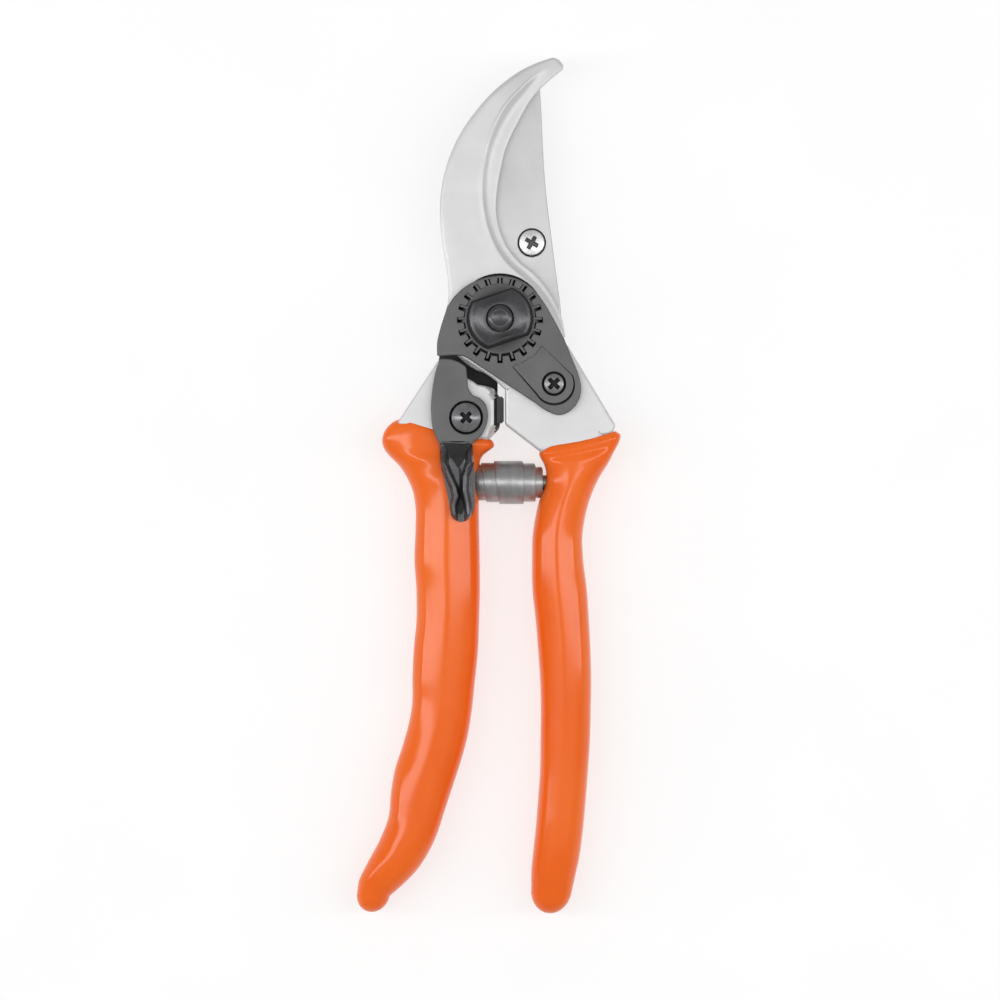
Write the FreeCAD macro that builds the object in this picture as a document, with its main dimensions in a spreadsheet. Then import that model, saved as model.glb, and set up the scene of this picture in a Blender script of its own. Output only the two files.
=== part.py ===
import FreeCAD, Part
import math
import os
import Sketcher

# Bypass pruning shears lying flat, nut side up.
# Origin: on the pivot axis, in the plane the shears rest on (underside of the bolt head).
# +Z is the pivot axis towards the nut, +Y runs along the blade, +X is the side of the blade's spine.

doc = FreeCAD.newDocument("PruningShears")
sheet = doc.addObject("Spreadsheet::Sheet", "Sizes")

SIZES = [
    # overall sizes, mm
    ("cutting_length", "65.25", "pivot axis to hook tip"),
    ("handle_length", "149", "pivot axis to grip ends"),
    ("grip_thickness", "15", "front to back of a dipped grip"),
    ("grip_mouth_thickness", "12.6", "front to back of a grip where it starts"),
    ("grip_middle", "=grip_thickness / 2", "height of both grips' centre lines"),
    # clearances
    ("running_gap", "0.05", "between faces and round fits that slide on each other"),
    ("free_gap", "0.3", "between pieces that pass each other"),
    # stack on the pivot, from the rest plane up
    ("bolt_head_height", "2.4", ""),
    ("thrust_washer_height", "0.6", "between bolt head and left forging"),
    ("bolt_head_radius", "8", ""),
    ("arm_thickness", "3.45", "left forging behind the blade"),
    ("blade_thickness", "3", ""),
    ("hook_thickness", "4.5", ""),
    ("plate_thickness", "2.2", "lock plate"),
    ("arm_bottom", "=bolt_head_height + thrust_washer_height + running_gap", ""),
    ("blade_bottom", "=arm_bottom + arm_thickness", ""),
    ("blade_top", "=blade_bottom + blade_thickness", ""),
    ("hook_bottom", "=blade_top + running_gap", ""),
    ("hook_top", "=hook_bottom + hook_thickness", "front of hook and right forging"),
    ("plate_top", "=hook_top + plate_thickness", ""),
    ("left_front", "=hook_top - free_gap", "front of the left forging, under the sweeping plate"),
    # pivot
    ("pivot_radius", "4", "plain shank of the bolt"),
    ("thread_radius", "3", "M6 end of the bolt"),
    ("bush_wall", "1.5", ""),
    ("bush_bore", "=pivot_radius + running_gap", ""),
    ("bush_radius", "=bush_bore + bush_wall", ""),
    ("swing_radius", "17", "everything thick stays outside this circle about the pivot"),
    ("eye_radius", "13.2", "left forging's round eye"),
    ("nut_radius", "8.5", "round part of the nut"),
    ("nut_flats", "12.4", "across the two flats"),
    ("nut_flat_angle", "18.9", "degrees the flats rise to the right"),
    ("nut_height", "2.4", "boss above the lock plate"),
    ("tooth_count", "20", ""),
    ("tooth_width", "1", ""),
    ("tooth_reach", "1.6", "tooth length beyond the nut's round"),
    # screws
    ("blade_screw_x", "7.95", ""),
    ("blade_screw_y", "19.2", ""),
    ("blade_screw_head", "3.3", "head radius"),
    ("blade_screw_shank", "2", ""),
    ("segment_screw_x", "13.45", ""),
    ("segment_screw_y", "-16.25", ""),
    ("segment_screw_head", "2.4", ""),
    ("segment_screw_shank", "1.5", ""),
    ("catch_x", "-8.45", "catch screw, the catch's own pivot"),
    ("catch_y", "-24.7", ""),
    ("catch_screw_head", "4.1", ""),
    ("catch_screw_shank", "2", ""),
    ("screw_slot_width", "0.9", "cross recess"),
    ("screw_slot_depth", "1", ""),
    # catch
    ("catch_washer_height", "0.6", ""),
    ("catch_bottom", "=left_front + catch_washer_height", ""),
    ("catch_thickness", "2.1", ""),
    ("catch_top", "=catch_bottom + catch_thickness", ""),
    ("tab_bottom", "=grip_thickness + free_gap", "thumb tab rides over the grip"),
    ("tab_height", "3.4", ""),
    ("segment_thickness", "1.1", ""),
    # spring
    ("spring_y", "-40.9", "spring axis"),
    ("spring_strip", "0.5", "strip thickness"),
    ("spring_pitch", "0.62", "one turn to the next"),
    ("spring_radius", "5.5", "outermost turn"),
    ("spring_turns", "3", ""),
    ("spring_left", "-5", ""),
    ("spring_right", "10", ""),
    ("stud_radius", "1.9", "pegs inside the spring's ends"),
    ("stud_reach", "3.2", "peg length inside the spring"),
    ("stud_depth", "8", "peg length let into the grip and tang"),
    # tangs
    ("tang_thickness", "6", ""),
    ("tang_width", "7", ""),
    ("cushion_thickness", "2.2", "rubber stop between the handles"),
    ("stop_gap", "1.25", "left forging to right forging when closed"),
    ("edge_round", "0.6", ""),
    ("lip_drop", "1.3", "hook's lip below its front"),
    ("bevel_height", "2.4", "ground bevel on the back of the blade"),
    ("bevel_width", "5", ""),
]

for row, (alias, value, note) in enumerate(SIZES, start=1):
    sheet.set("A%d" % row, alias)
    sheet.set("B%d" % row, value)
    sheet.set("C%d" % row, note)
    sheet.setAlias("B%d" % row, alias)
doc.recompute()


def size(alias):
    """Value of one named size, in mm."""
    return float(getattr(sheet, alias))


def blade_reach(points):
    """Outline points with everything past the blade screw stretched to the cutting length."""
    start = size("blade_screw_y") + size("blade_screw_head") + 2
    stretch = (size("cutting_length") - start) / (65.25 - start)
    return [(x, y if y < start else start + (y - start) * stretch) for x, y in points]


def handle_reach(y):
    """Height along a handle, stretched below the spring to the handle length."""
    start = size("spring_y") - size("spring_radius") - 3
    stretch = (size("handle_length") + start) / (149 + start)
    return y if y > start else start + (y - start) * stretch


def new_body(label):
    body = doc.addObject("PartDesign::Body", label)
    body.Label = label
    return body


def plane(body, role):
    return [f for f in body.Origin.OriginFeatures if f.Role == role][0]


def new_sketch(body, name, role="XY_Plane", offset=None):
    """Sketch on one of the body's own planes, its height bound to the sheet."""
    sketch = body.newObject("Sketcher::SketchObject", name)
    sketch.AttachmentSupport = (plane(body, role), [""])
    sketch.MapMode = "FlatFace"
    if offset is not None:
        sketch.setExpression("AttachmentOffset.Base.z", offset)
    return sketch


def vec(point):
    return FreeCAD.Vector(point[0], point[1], 0)


def draw(sketch, runs):
    """Closed outline from runs of points: two points make a line, more make a smooth curve."""
    ids = []
    for run in runs:
        if len(run) == 2:
            curve = Part.LineSegment(vec(run[0]), vec(run[1]))
        else:
            curve = Part.BSplineCurve()
            curve.interpolate([vec(p) for p in run])
        ids.append(sketch.addGeometry(curve, False))
    for here, after in zip(ids, ids[1:] + ids[:1]):
        sketch.addConstraint(Sketcher.Constraint("Coincident", here, 2, after, 1))


def draw_circle(sketch, x, y, radius):
    """Circle with its centre and radius bound to the sheet; each argument is an expression."""
    curve = sketch.addGeometry(Part.Circle(FreeCAD.Vector(1, 1, 0), FreeCAD.Vector(0, 0, 1), 1), False)
    for kind, at in (("DistanceX", x), ("DistanceY", y)):
        if at == "0":
            axis = -2 if kind == "DistanceX" else -1
            sketch.addConstraint(Sketcher.Constraint("PointOnObject", curve, 3, axis))
        else:
            start = sketch.addConstraint(Sketcher.Constraint(kind, -1, 1, curve, 3, 1.0))
            sketch.setExpression("Constraints[%d]" % start, at)
    last = sketch.addConstraint(Sketcher.Constraint("Radius", curve, 1.0))
    sketch.setExpression("Constraints[%d]" % last, radius)


def extrude(body, kind, sketch, name, length, upwards=True):
    """Pad or Pocket of a sketch along +Z, or down from it when upwards is False."""
    feature = body.newObject("PartDesign::" + kind, name)
    feature.Profile = sketch
    feature.setExpression("Length", length)
    away = kind == "Pocket"
    feature.Reversed = (away == upwards)
    sketch.Visibility = False
    body.Tip = feature
    doc.recompute()
    return feature


def pad_outline(body, name, offset, runs, length):
    sketch = new_sketch(body, name + "Outline", offset=offset)
    draw(sketch, runs)
    return extrude(body, "Pad", sketch, name, length)


def pocket_outline(body, name, offset, runs, length):
    """Pocket cut upwards from a sketch."""
    sketch = new_sketch(body, name + "Outline", offset=offset)
    draw(sketch, runs)
    return extrude(body, "Pocket", sketch, name, length)


def pad_circle(body, name, offset, radius, length, x="0", y="0"):
    sketch = new_sketch(body, name + "Circle", offset=offset)
    draw_circle(sketch, x, y, radius)
    return extrude(body, "Pad", sketch, name, length)


def pocket_circle(body, name, offset, radius, length, x="0", y="0"):
    sketch = new_sketch(body, name + "Circle", offset=offset)
    draw_circle(sketch, x, y, radius)
    return extrude(body, "Pocket", sketch, name, length)


def edges_on(feature, height, test=None):
    """Names of the edges lying flat at one height, kept by a test on their middle point."""
    names = []
    for number, edge in enumerate(feature.Shape.Edges, start=1):
        middle = edge.valueAt((edge.FirstParameter + edge.LastParameter) / 2)
        flat = all(abs(p.z - height) < 1e-4 for p in [middle] + [v.Point for v in edge.Vertexes])
        if flat and (test is None or test(middle)):
            names.append("Edge%d" % number)
    return names


def dress(body, kind, name, height, amount, test=None):
    """Fillet or Chamfer on the flat edges at one height."""
    base = body.Tip
    feature = body.newObject("PartDesign::" + kind, name)
    feature.Base = (base, edges_on(base, height, test))
    feature.setExpression("Radius" if kind == "Fillet" else "Size", amount)
    body.Tip = feature
    doc.recompute()
    return feature


def polar(radius, degrees):
    return (radius * math.cos(math.radians(degrees)), radius * math.sin(math.radians(degrees)))


def arc_points(radius, start, end, steps):
    """Points on a circle about the pivot."""
    return [polar(radius, start + (end - start) * i / steps) for i in range(steps + 1)]


def polyline(points):
    return [[a, b] for a, b in zip(points, points[1:] + points[:1])]


def cross_runs(x, y, arm, width):
    """Outline of a cross recess about a point."""
    a, w = arm, width / 2
    points = [(w, w), (w, a), (-w, a), (-w, w), (-a, w), (-a, -w),
              (-w, -w), (-w, -a), (w, -a), (w, -w), (a, -w), (a, w)]
    return polyline([(x + px, y + py) for px, py in points])


def cross_recess(body, x, y, top):
    """Cross recess cut into a screw head whose top is at the given height expression."""
    runs = cross_runs(size(x), size(y), size(x.replace("_x", "_head")
                      if x != "catch_x" else "catch_screw_head") * 0.5, size("screw_slot_width"))
    pocket_outline(body, "Recess", top + " - Sizes.screw_slot_depth", runs, "Sizes.screw_slot_depth + 1")


def left_tang_line():
    """Centre line of the left handle inside its grip."""
    line = [(-14.4, -34), (-13.3, -45), (-13.2, -60), (-13.1, -75), (-14, -87),
            (-15.2, -98), (-17.4, -108), (-19.9, -118), (-22.1, -127)]
    return [(x, handle_reach(y)) for x, y in line]


def right_tang_line():
    """Centre line of the right handle inside its grip."""
    line = [(18.3, -34), (16, -45), (14.5, -60), (15.6, -75), (16.3, -87),
            (16.5, -98), (16.4, -109), (15.6, -120), (14.4, -132)]
    return [(x, handle_reach(y)) for x, y in line]


def tang_runs(line):
    half = size("tang_width") / 2
    left = [(x - half, y) for x, y in line]
    right = [(x + half, y) for x, y in reversed(line)]
    return [left, [left[-1], right[0]], right, [right[-1], left[0]]]


def hook_inner_edge():
    """Lip of the hook from under its tip down to the right forging."""
    return blade_reach([(15, 62.5), (10.25, 57.75), (5.5, 50.75), (3.25, 46.75), (1.25, 42.25), (0.25, 37.75),
                        (-0.5, 33), (-1, 28.25), (-0.5, 24.25), (0.5, 20), (2.4, 16.9), (5.5, 13.6), (8.8, 11),
                        (11.8, 7.6), (13.9, 4.1), (15.4, 0.5), (16.25, -5)])


def hook_outer_edge():
    """Back of the hook from its tip down to the eye."""
    return blade_reach([(12.75, 65.25), (8.5, 63.9), (5, 62), (1.75, 59.75), (-2.75, 55.8), (-6.5, 51.6),
                        (-9.25, 47.6), (-11.5, 43.4), (-13, 39.6), (-14.25, 35.2), (-15, 29), (-15, 24.2),
                        (-14.5, 19.75), (-13.75, 15.6), (-13, 11.6), (-12.8, 7.5)])


def lip_edge():
    """Ridge between the wide flat of the hook and its lower lip."""
    return blade_reach([(8.5, 61), (4.75, 57.5), (1.5, 53.2), (-1, 49), (-2.75, 44.25), (-4, 39.5), (-4.5, 33),
                        (-4.25, 28.25), (-3.5, 24.25), (-2.25, 20), (-0.25, 16.25), (2.4, 13.1), (5.6, 10.4),
                        (8.75, 7.5), (11, 5), (13.25, 1.75), (15, -2)])


def make_hook_forging():
    """Hook, eye and right arm forged in one, with a tang running inside the right grip."""
    body = new_body("hook_forging")
    tip = blade_reach([(15, 62.5), (15.5, 63.75), (14.9, 64.9), (12.75, 65.25)])
    inner = hook_inner_edge()
    outer = hook_outer_edge()
    stop_x = size("stop_gap")
    arm_top = (stop_x, -math.sqrt(size("swing_radius") ** 2 - stop_x ** 2))
    rim = [(-12.8, 7.5), (-13.6, 1), (-13, -5), (-11.6, -8.2)]
    under = [(-11.6, -8.2), (-8.3, -10.5), (-4.5, -13), arm_top]
    pad_outline(body, "Hook", "Sizes.hook_bottom",
                [list(reversed(tip)), inner, [inner[-1], (19, -22)], [(19, -22), (stop_x, -22)],
                 [(stop_x, -22), arm_top], list(reversed(under)), list(reversed(rim)),
                 list(reversed(outer))], "Sizes.hook_thickness")
    arc = arc_points(size("swing_radius"), -16.4, math.degrees(math.atan2(arm_top[1], arm_top[0])), 6)
    arm = [[arm_top, (stop_x, -26.5)], [(stop_x, -26.5), (10, -33.2)], [(10, -33.2), (13, -38)],
           [(13, -38), (22.5, -38)], [(22.5, -38), (28.8, -28.5)], [(28.8, -28.5), (28.9, -26.1)],
           [(28.9, -26.1), (16.8, -6.8)], [(16.8, -6.8), arc[0]], arc]
    pad_outline(body, "Arm", "Sizes.arm_bottom", arm, "Sizes.hook_top - Sizes.arm_bottom")
    dress(body, "Fillet", "FrontRound", size("hook_top"), "Sizes.edge_round",
          lambda p: p.x > 20 and -20 < p.y < -10 or 4 < p.x < 7 and -31 < p.y < -28)
    pad_outline(body, "Tang", "Sizes.grip_middle - Sizes.tang_thickness / 2",
                tang_runs(right_tang_line()), "Sizes.tang_thickness")
    lip = lip_edge()
    cut = [lip, [lip[-1], (22, -2)], [(22, -2), (22, 40)], [(22, 40), blade_reach([(13.2, 58.6)])[0]],
           [blade_reach([(13.2, 58.6)])[0], lip[0]]]
    pocket_outline(body, "Lip", "Sizes.hook_top - Sizes.lip_drop", cut, "Sizes.lip_drop + 1")
    pocket_circle(body, "PivotBore", "Sizes.hook_bottom - 1", "Sizes.bush_bore", "Sizes.hook_thickness + 2")
    pocket_circle(body, "SegmentTap", "Sizes.hook_top - 6", "Sizes.segment_screw_shank", "8",
                  "Sizes.segment_screw_x", "Sizes.segment_screw_y")
    stud_bore(body, "right")
    return body


def stud_bore(body, side):
    """Bore for the spring's peg, along X on the spring's axis."""
    sketch = new_sketch(body, "StudCircle", "YZ_Plane", "Sizes.spring_%s" % side)
    draw_circle(sketch, "Sizes.spring_y", "Sizes.grip_middle", "Sizes.stud_radius")
    extrude(body, "Pocket", sketch, "StudBore", "Sizes.stud_depth + Sizes.free_gap", upwards=(side == "right"))


def make_left_forging():
    """Left handle: eye behind the blade, blade seat, thick arm under the catch and tang."""
    body = new_body("blade_forging")
    pad_circle(body, "Eye", "Sizes.arm_bottom", "Sizes.eye_radius", "Sizes.arm_thickness")
    sx, sy = size("blade_screw_x"), size("blade_screw_y")
    lobe = size("blade_screw_head") + 1.2
    along = math.degrees(math.atan2(sy, sx))
    ring = [(sx + polar(lobe, a)[0], sy + polar(lobe, a)[1]) for a in range(-15, 151, 15)]
    seat = [ring, [ring[-1], polar(size("eye_radius") - 0.4, along + 62)],
            [polar(size("eye_radius") - 0.4, along + 62), polar(size("eye_radius") - 0.4, along - 62)],
            [polar(size("eye_radius") - 0.4, along - 62), ring[0]]]
    pad_outline(body, "BladeSeat", "Sizes.arm_bottom", seat, "Sizes.arm_thickness")
    web = polyline([(-12.6, 2), (-14.2, -6), (-16, -12), (-20, -20), (-1, -21), (-0.6, -12)])
    pad_outline(body, "Web", "Sizes.arm_bottom", web, "Sizes.arm_thickness")
    reach = size("swing_radius")
    arc = arc_points(reach, -147, -110, 6)
    arm = [arc, [arc[-1], (-1.6, -17.1)], [(-1.6, -17.1), (-0.5, -17.4), (0, -18.6)],
           [(0, -18.6), (0, -27)], [(0, -27), (-0.5, -28.6), (-2.5, -30.6)], [(-2.5, -30.6), (-7.5, -38)],
           [(-7.5, -38), (-21, -38)], [(-21, -38), (-26.6, -30.5)], [(-26.6, -30.5), (-25.4, -25.7)],
           [(-25.4, -25.7), (-15.1, -10.2)], [(-15.1, -10.2), arc[0]]]
    pad_outline(body, "Arm", "Sizes.arm_bottom", arm, "Sizes.left_front - Sizes.arm_bottom")
    dress(body, "Fillet", "FrontRound", size("left_front"), "Sizes.edge_round",
          lambda p: p.x < -18 and p.y > -22)
    pad_outline(body, "Tang", "Sizes.grip_middle - Sizes.tang_thickness / 2",
                tang_runs(left_tang_line()), "Sizes.tang_thickness")
    pocket_circle(body, "PivotBore", "0", "Sizes.bush_radius", "Sizes.blade_top")
    pocket_circle(body, "BladeTap", "0", "Sizes.blade_screw_shank", "Sizes.blade_top",
                  "Sizes.blade_screw_x", "Sizes.blade_screw_y")
    pocket_circle(body, "CatchTap", "Sizes.left_front - 6", "Sizes.catch_screw_shank", "8",
                  "Sizes.catch_x", "Sizes.catch_y")
    thick = size("cushion_thickness")
    deep = size("stop_gap") - size("free_gap") - thick
    slot = polyline([(deep, -26), (2, -26), (2, -19.4), (deep, -19.4)])
    pocket_outline(body, "CushionSeat", "Sizes.arm_bottom + 1.5", slot,
                   "Sizes.left_front - Sizes.arm_bottom - 3")
    stud_bore(body, "left")
    return body


def make_stop_cushion():
    """Rubber block let into the left forging where the handles meet."""
    body = new_body("stop_cushion")
    front = size("stop_gap") - size("free_gap")
    back = front - size("cushion_thickness")
    runs = polyline([(back, -26), (front - 0.5, -26), (front, -25.5), (front, -19.9),
                     (front - 0.5, -19.4), (back, -19.4)])
    pad_outline(body, "Block", "Sizes.arm_bottom + 1.5", runs, "Sizes.left_front - Sizes.arm_bottom - 3")
    return body


def make_blade():
    """Curved blade with the pivot eye, a screw seat and a bevel ground on its back."""
    body = new_body("blade")
    spine = blade_reach([(9.9, 59.4), (10.3, 53), (10.7, 44), (11.1, 37), (11.75, 29.75), (13, 19.75),
                         (14, 11.75), (15.1, 4)])
    eye = [(15.1, 4), (15.3, -1), (13.6, -6.2), (9.6, -10.6), (4, -13.5), (-2.2, -13.9), (-8.3, -11.4),
           (-12.4, -6.6), (-13.9, -0.5), (-12.6, 6)]
    edge = blade_reach([(-12.6, 6), (-9.4, 11.5), (-6.4, 17.5), (-4.4, 24), (-3.4, 31), (-2.6, 37.5), (-1, 43.5),
                        (1.8, 49.5), (5.4, 54.8), (9.9, 59.4)])
    flat = pad_outline(body, "Plate", "Sizes.blade_bottom", [spine, eye, edge], "Sizes.blade_thickness")
    ground = body.newObject("PartDesign::Chamfer", "Bevel")
    low = edges_on(flat, size("blade_bottom"), lambda p: p.x < 5 and p.y > 15)
    ground.Base = (flat, low)
    ground.ChamferType = "Two distances"
    ground.setExpression("Size", "Sizes.bevel_height")
    ground.setExpression("Size2", "Sizes.bevel_width")
    body.Tip = ground
    doc.recompute()
    pocket_circle(body, "PivotBore", "0", "Sizes.bush_radius", "20")
    pocket_circle(body, "ScrewBore", "0", "Sizes.blade_screw_shank", "20",
                  "Sizes.blade_screw_x", "Sizes.blade_screw_y")
    pocket_circle(body, "ScrewSeat", "Sizes.blade_top - 0.8", "Sizes.blade_screw_head + 0.25", "2",
                  "Sizes.blade_screw_x", "Sizes.blade_screw_y")
    return body


def make_screw(label, place, head, shank, seat, head_height, bottom):
    """Cross-recess screw standing on its seat; all arguments after place are expressions."""
    body = new_body(label)
    x, y = place
    pad_circle(body, "Head", seat, head, head_height, "Sizes." + x, "Sizes." + y)
    dress(body, "Fillet", "HeadRound", body.Shape.BoundBox.ZMax, "0.45")
    pad_circle(body, "Shank", bottom, shank, seat + " - (" + bottom + ")", "Sizes." + x, "Sizes." + y)
    cross_recess(body, x, y, seat + " + " + head_height)
    return body


def make_lock_plate():
    """Dark plate over the pivot with a slotted hole for the nut and a pocket for the segment."""
    body = new_body("lock_plate")
    left = [(-15.6, -9.4), (-15.6, -5), (-14.3, 0), (-13.3, 4), (-12.2, 5.3)]
    top = [(-12.2, 5.3), (-9.5, 7.7), (-5.7, 10), (-0.2, 11), (4.1, 10.5), (8.2, 7.8), (11, 4), (13.5, -0.5),
           (15.8, -5), (17.8, -9.8), (19.6, -13.6)]
    lobe = [(19.6, -13.6), (20.3, -16.8), (19.5, -20.6), (17.8, -23), (14.8, -24), (12, -23.1)]
    slant = [(12, -23.1), (8, -20.5), (4.3, -18), (0.8, -15.8), (-4, -12.6), (-7.6, -10.2), (-8.8, -9.5)]
    pad_outline(body, "Plate", "Sizes.hook_top",
                [left, top, lobe, slant, [(-8.8, -9.5), (-10, -9.3)], [(-10, -9.3), (-15.6, -9.4)]],
                "Sizes.plate_thickness")
    pocket_circle(body, "NutHole", "Sizes.hook_top - 1", "Sizes.nut_radius + Sizes.free_gap + 0.2",
                  "Sizes.plate_thickness + 2")
    wide = size("tooth_width") / 2 + size("free_gap")
    far = size("nut_radius") + size("tooth_reach") + size("free_gap")
    slot = polyline([(6, -wide), (far, -wide), (far, wide), (6, wide)])
    first = pocket_outline(body, "Slot", "Sizes.hook_top - 1", slot, "Sizes.plate_thickness + 2")
    ring = body.newObject("PartDesign::PolarPattern", "Slots")
    ring.Originals = [first]
    ring.Axis = (plane(body, "Z_Axis"), [""])
    ring.Angle = 360
    ring.setExpression("Occurrences", "Sizes.tooth_count")
    body.Tip = ring
    doc.recompute()
    pocket_outline(body, "SegmentPocket", "Sizes.plate_top - Sizes.segment_thickness",
                   segment_runs(size("free_gap") / 2), "Sizes.segment_thickness + 1")
    pocket_circle(body, "SegmentHole", "Sizes.hook_top - 1", "Sizes.segment_screw_shank",
                  "Sizes.plate_thickness + 2", "Sizes.segment_screw_x", "Sizes.segment_screw_y")
    return body


def segment_runs(grow):
    """Teardrop of the toothed segment about its screw, grown by a clearance."""
    sx, sy = size("segment_screw_x"), size("segment_screw_y")
    far = 4.9 + grow
    inner = size("nut_radius") + size("tooth_reach") + 1.4 - grow
    lobe = [(sx + polar(far, a)[0], sy + polar(far, a)[1]) for a in range(28, -153, -20)]
    arc = arc_points(inner, -76 - 3 * grow, -32 + 3 * grow, 5)
    return [lobe, [lobe[-1], arc[0]], arc, [arc[-1], lobe[0]]]


def make_lock_segment():
    """Toothed segment that keeps the nut from turning."""
    body = new_body("lock_segment")
    pad_outline(body, "Teardrop", "Sizes.plate_top - Sizes.segment_thickness", segment_runs(0),
                "Sizes.segment_thickness")
    pocket_circle(body, "Seat", "Sizes.plate_top - 0.9", "Sizes.segment_screw_head + Sizes.free_gap", "2",
                  "Sizes.segment_screw_x", "Sizes.segment_screw_y")
    pocket_circle(body, "Hole", "Sizes.hook_top", "Sizes.segment_screw_shank", "4",
                  "Sizes.segment_screw_x", "Sizes.segment_screw_y")
    return body


def make_nut():
    """Flanged nut: toothed ring flush with the lock plate and a raised boss with two flats."""
    body = new_body("pivot_nut")
    pad_circle(body, "Flange", "Sizes.hook_top", "Sizes.nut_radius", "Sizes.plate_thickness - 0.1")
    wide = size("tooth_width") / 2
    far = size("nut_radius") + size("tooth_reach")
    tooth = polyline([(6, -wide), (far, -wide), (far, wide), (6, wide)])
    first = pad_outline(body, "Tooth", "Sizes.hook_top", tooth, "Sizes.plate_thickness - 0.1")
    ring = body.newObject("PartDesign::PolarPattern", "Teeth")
    ring.Originals = [first]
    ring.Axis = (plane(body, "Z_Axis"), [""])
    ring.Angle = 360
    ring.setExpression("Occurrences", "Sizes.tooth_count")
    body.Tip = ring
    doc.recompute()
    half = size("nut_flats") / 2
    turn = size("nut_flat_angle")
    swing = math.degrees(math.asin(half / (size("nut_radius") - 0.3)))
    right = arc_points(size("nut_radius") - 0.3, turn - swing, turn + swing, 6)
    left = arc_points(size("nut_radius") - 0.3, turn + 180 - swing, turn + 180 + swing, 6)
    boss = [right, [right[-1], left[0]], left, [left[-1], right[0]]]
    pad_outline(body, "Boss", "Sizes.plate_top - 0.1", boss, "Sizes.nut_height")
    dress(body, "Fillet", "BossRound", size("plate_top") - 0.1 + size("nut_height"), "1.2")
    pocket_circle(body, "Thread", "Sizes.hook_top - 1", "Sizes.thread_radius", "12")
    pocket_circle(body, "Countersink", "Sizes.plate_top - 0.1 + Sizes.nut_height - 0.8",
                  "Sizes.thread_radius + 0.7", "4")
    return body


def make_bolt():
    """Pivot bolt: flat head, plain shank and threaded end."""
    body = new_body("pivot_bolt")
    pad_circle(body, "Head", "0", "Sizes.bolt_head_radius", "Sizes.bolt_head_height")
    dress(body, "Chamfer", "HeadEdge", 0, "0.5")
    pad_circle(body, "Shank", "Sizes.bolt_head_height", "Sizes.pivot_radius", "Sizes.hook_top - Sizes.bolt_head_height")
    pad_circle(body, "Thread", "Sizes.hook_top", "Sizes.thread_radius", "Sizes.plate_thickness + Sizes.nut_height + 0.7")
    dress(body, "Chamfer", "EndEdge", size("hook_top") + size("plate_thickness") + size("nut_height") + 0.7, "0.6")
    return body


def make_ring(label, inner, outer, bottom, height, x="0", y="0"):
    """Plain ring such as a bush or washer."""
    body = new_body(label)
    pad_circle(body, "Ring", bottom, outer, height, x, y)
    pocket_circle(body, "Bore", bottom + " - 1", inner, height + " + 2", x, y)
    return body


def catch_outline():
    """Flat of the catch seen from the front, nose at the top."""
    left = [(-15.2, -10.3), (-16.4, -13.5), (-17.1, -18), (-17.5, -23), (-16.9, -28), (-16.4, -32.4)]
    neck = [(-16.4, -32.4), (-7.1, -32.4)]
    right = [(-7.1, -32.4), (-6.9, -30.8), (-4.8, -29), (-3.2, -26.4), (-2.8, -23.6), (-3.5, -21.2), (-5.2, -19.4),
             (-7.2, -18.4), (-8, -16.6), (-8.2, -14.8), (-8.7, -13)]
    nose = [(-8.7, -13), (-9.2, -12.7), (-10, -12.35)]
    top = [(-10, -12.35), (-12, -11.4), (-14, -10.6), (-15.2, -10.3)]
    return [left, neck, right, nose, top]


def tab_outline():
    """Thumb tab below the flat of the catch."""
    left = [(-16.8, -28.8), (-16.5, -33), (-15.2, -37), (-14.2, -41), (-13, -46), (-12.4, -49.2)]
    end = [(-12.4, -49.2), (-11.2, -50.4), (-9.6, -50.8), (-8, -50.4), (-6.9, -49)]
    right = [(-6.9, -49), (-6, -46), (-6, -42), (-6.6, -36), (-7.1, -31.6)]
    return [left, end, right, [(-7.1, -31.6), (-16.8, -28.8)]]


def make_catch():
    """Thumb catch: flat lever turning on its screw, with a raised tab for the thumb."""
    body = new_body("catch_lever")
    pad_outline(body, "Flat", "Sizes.catch_bottom", catch_outline(), "Sizes.catch_thickness")
    dress(body, "Fillet", "FlatRound", size("catch_top"), "Sizes.edge_round / 2", lambda p: p.y > -30)
    pad_outline(body, "Tab", "Sizes.tab_bottom", tab_outline(), "Sizes.tab_height")
    top = size("tab_bottom") + size("tab_height")
    dress(body, "Fillet", "TabRound", top, "1", lambda p: p.y < -33)
    ramp = new_sketch(body, "RampOutline", "YZ_Plane", "-30")
    low = size("catch_top")
    draw(ramp, polyline([(-28, low), (-28, top + 1), (-40, top + 1), (-40, top), (-33.5, low)]))
    extrude(body, "Pocket", ramp, "Ramp", "60")
    pocket_circle(body, "PivotHole", "Sizes.catch_bottom - 1",
                  "Sizes.catch_screw_shank + Sizes.running_gap", "8", "Sizes.catch_x", "Sizes.catch_y")
    return body


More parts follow.
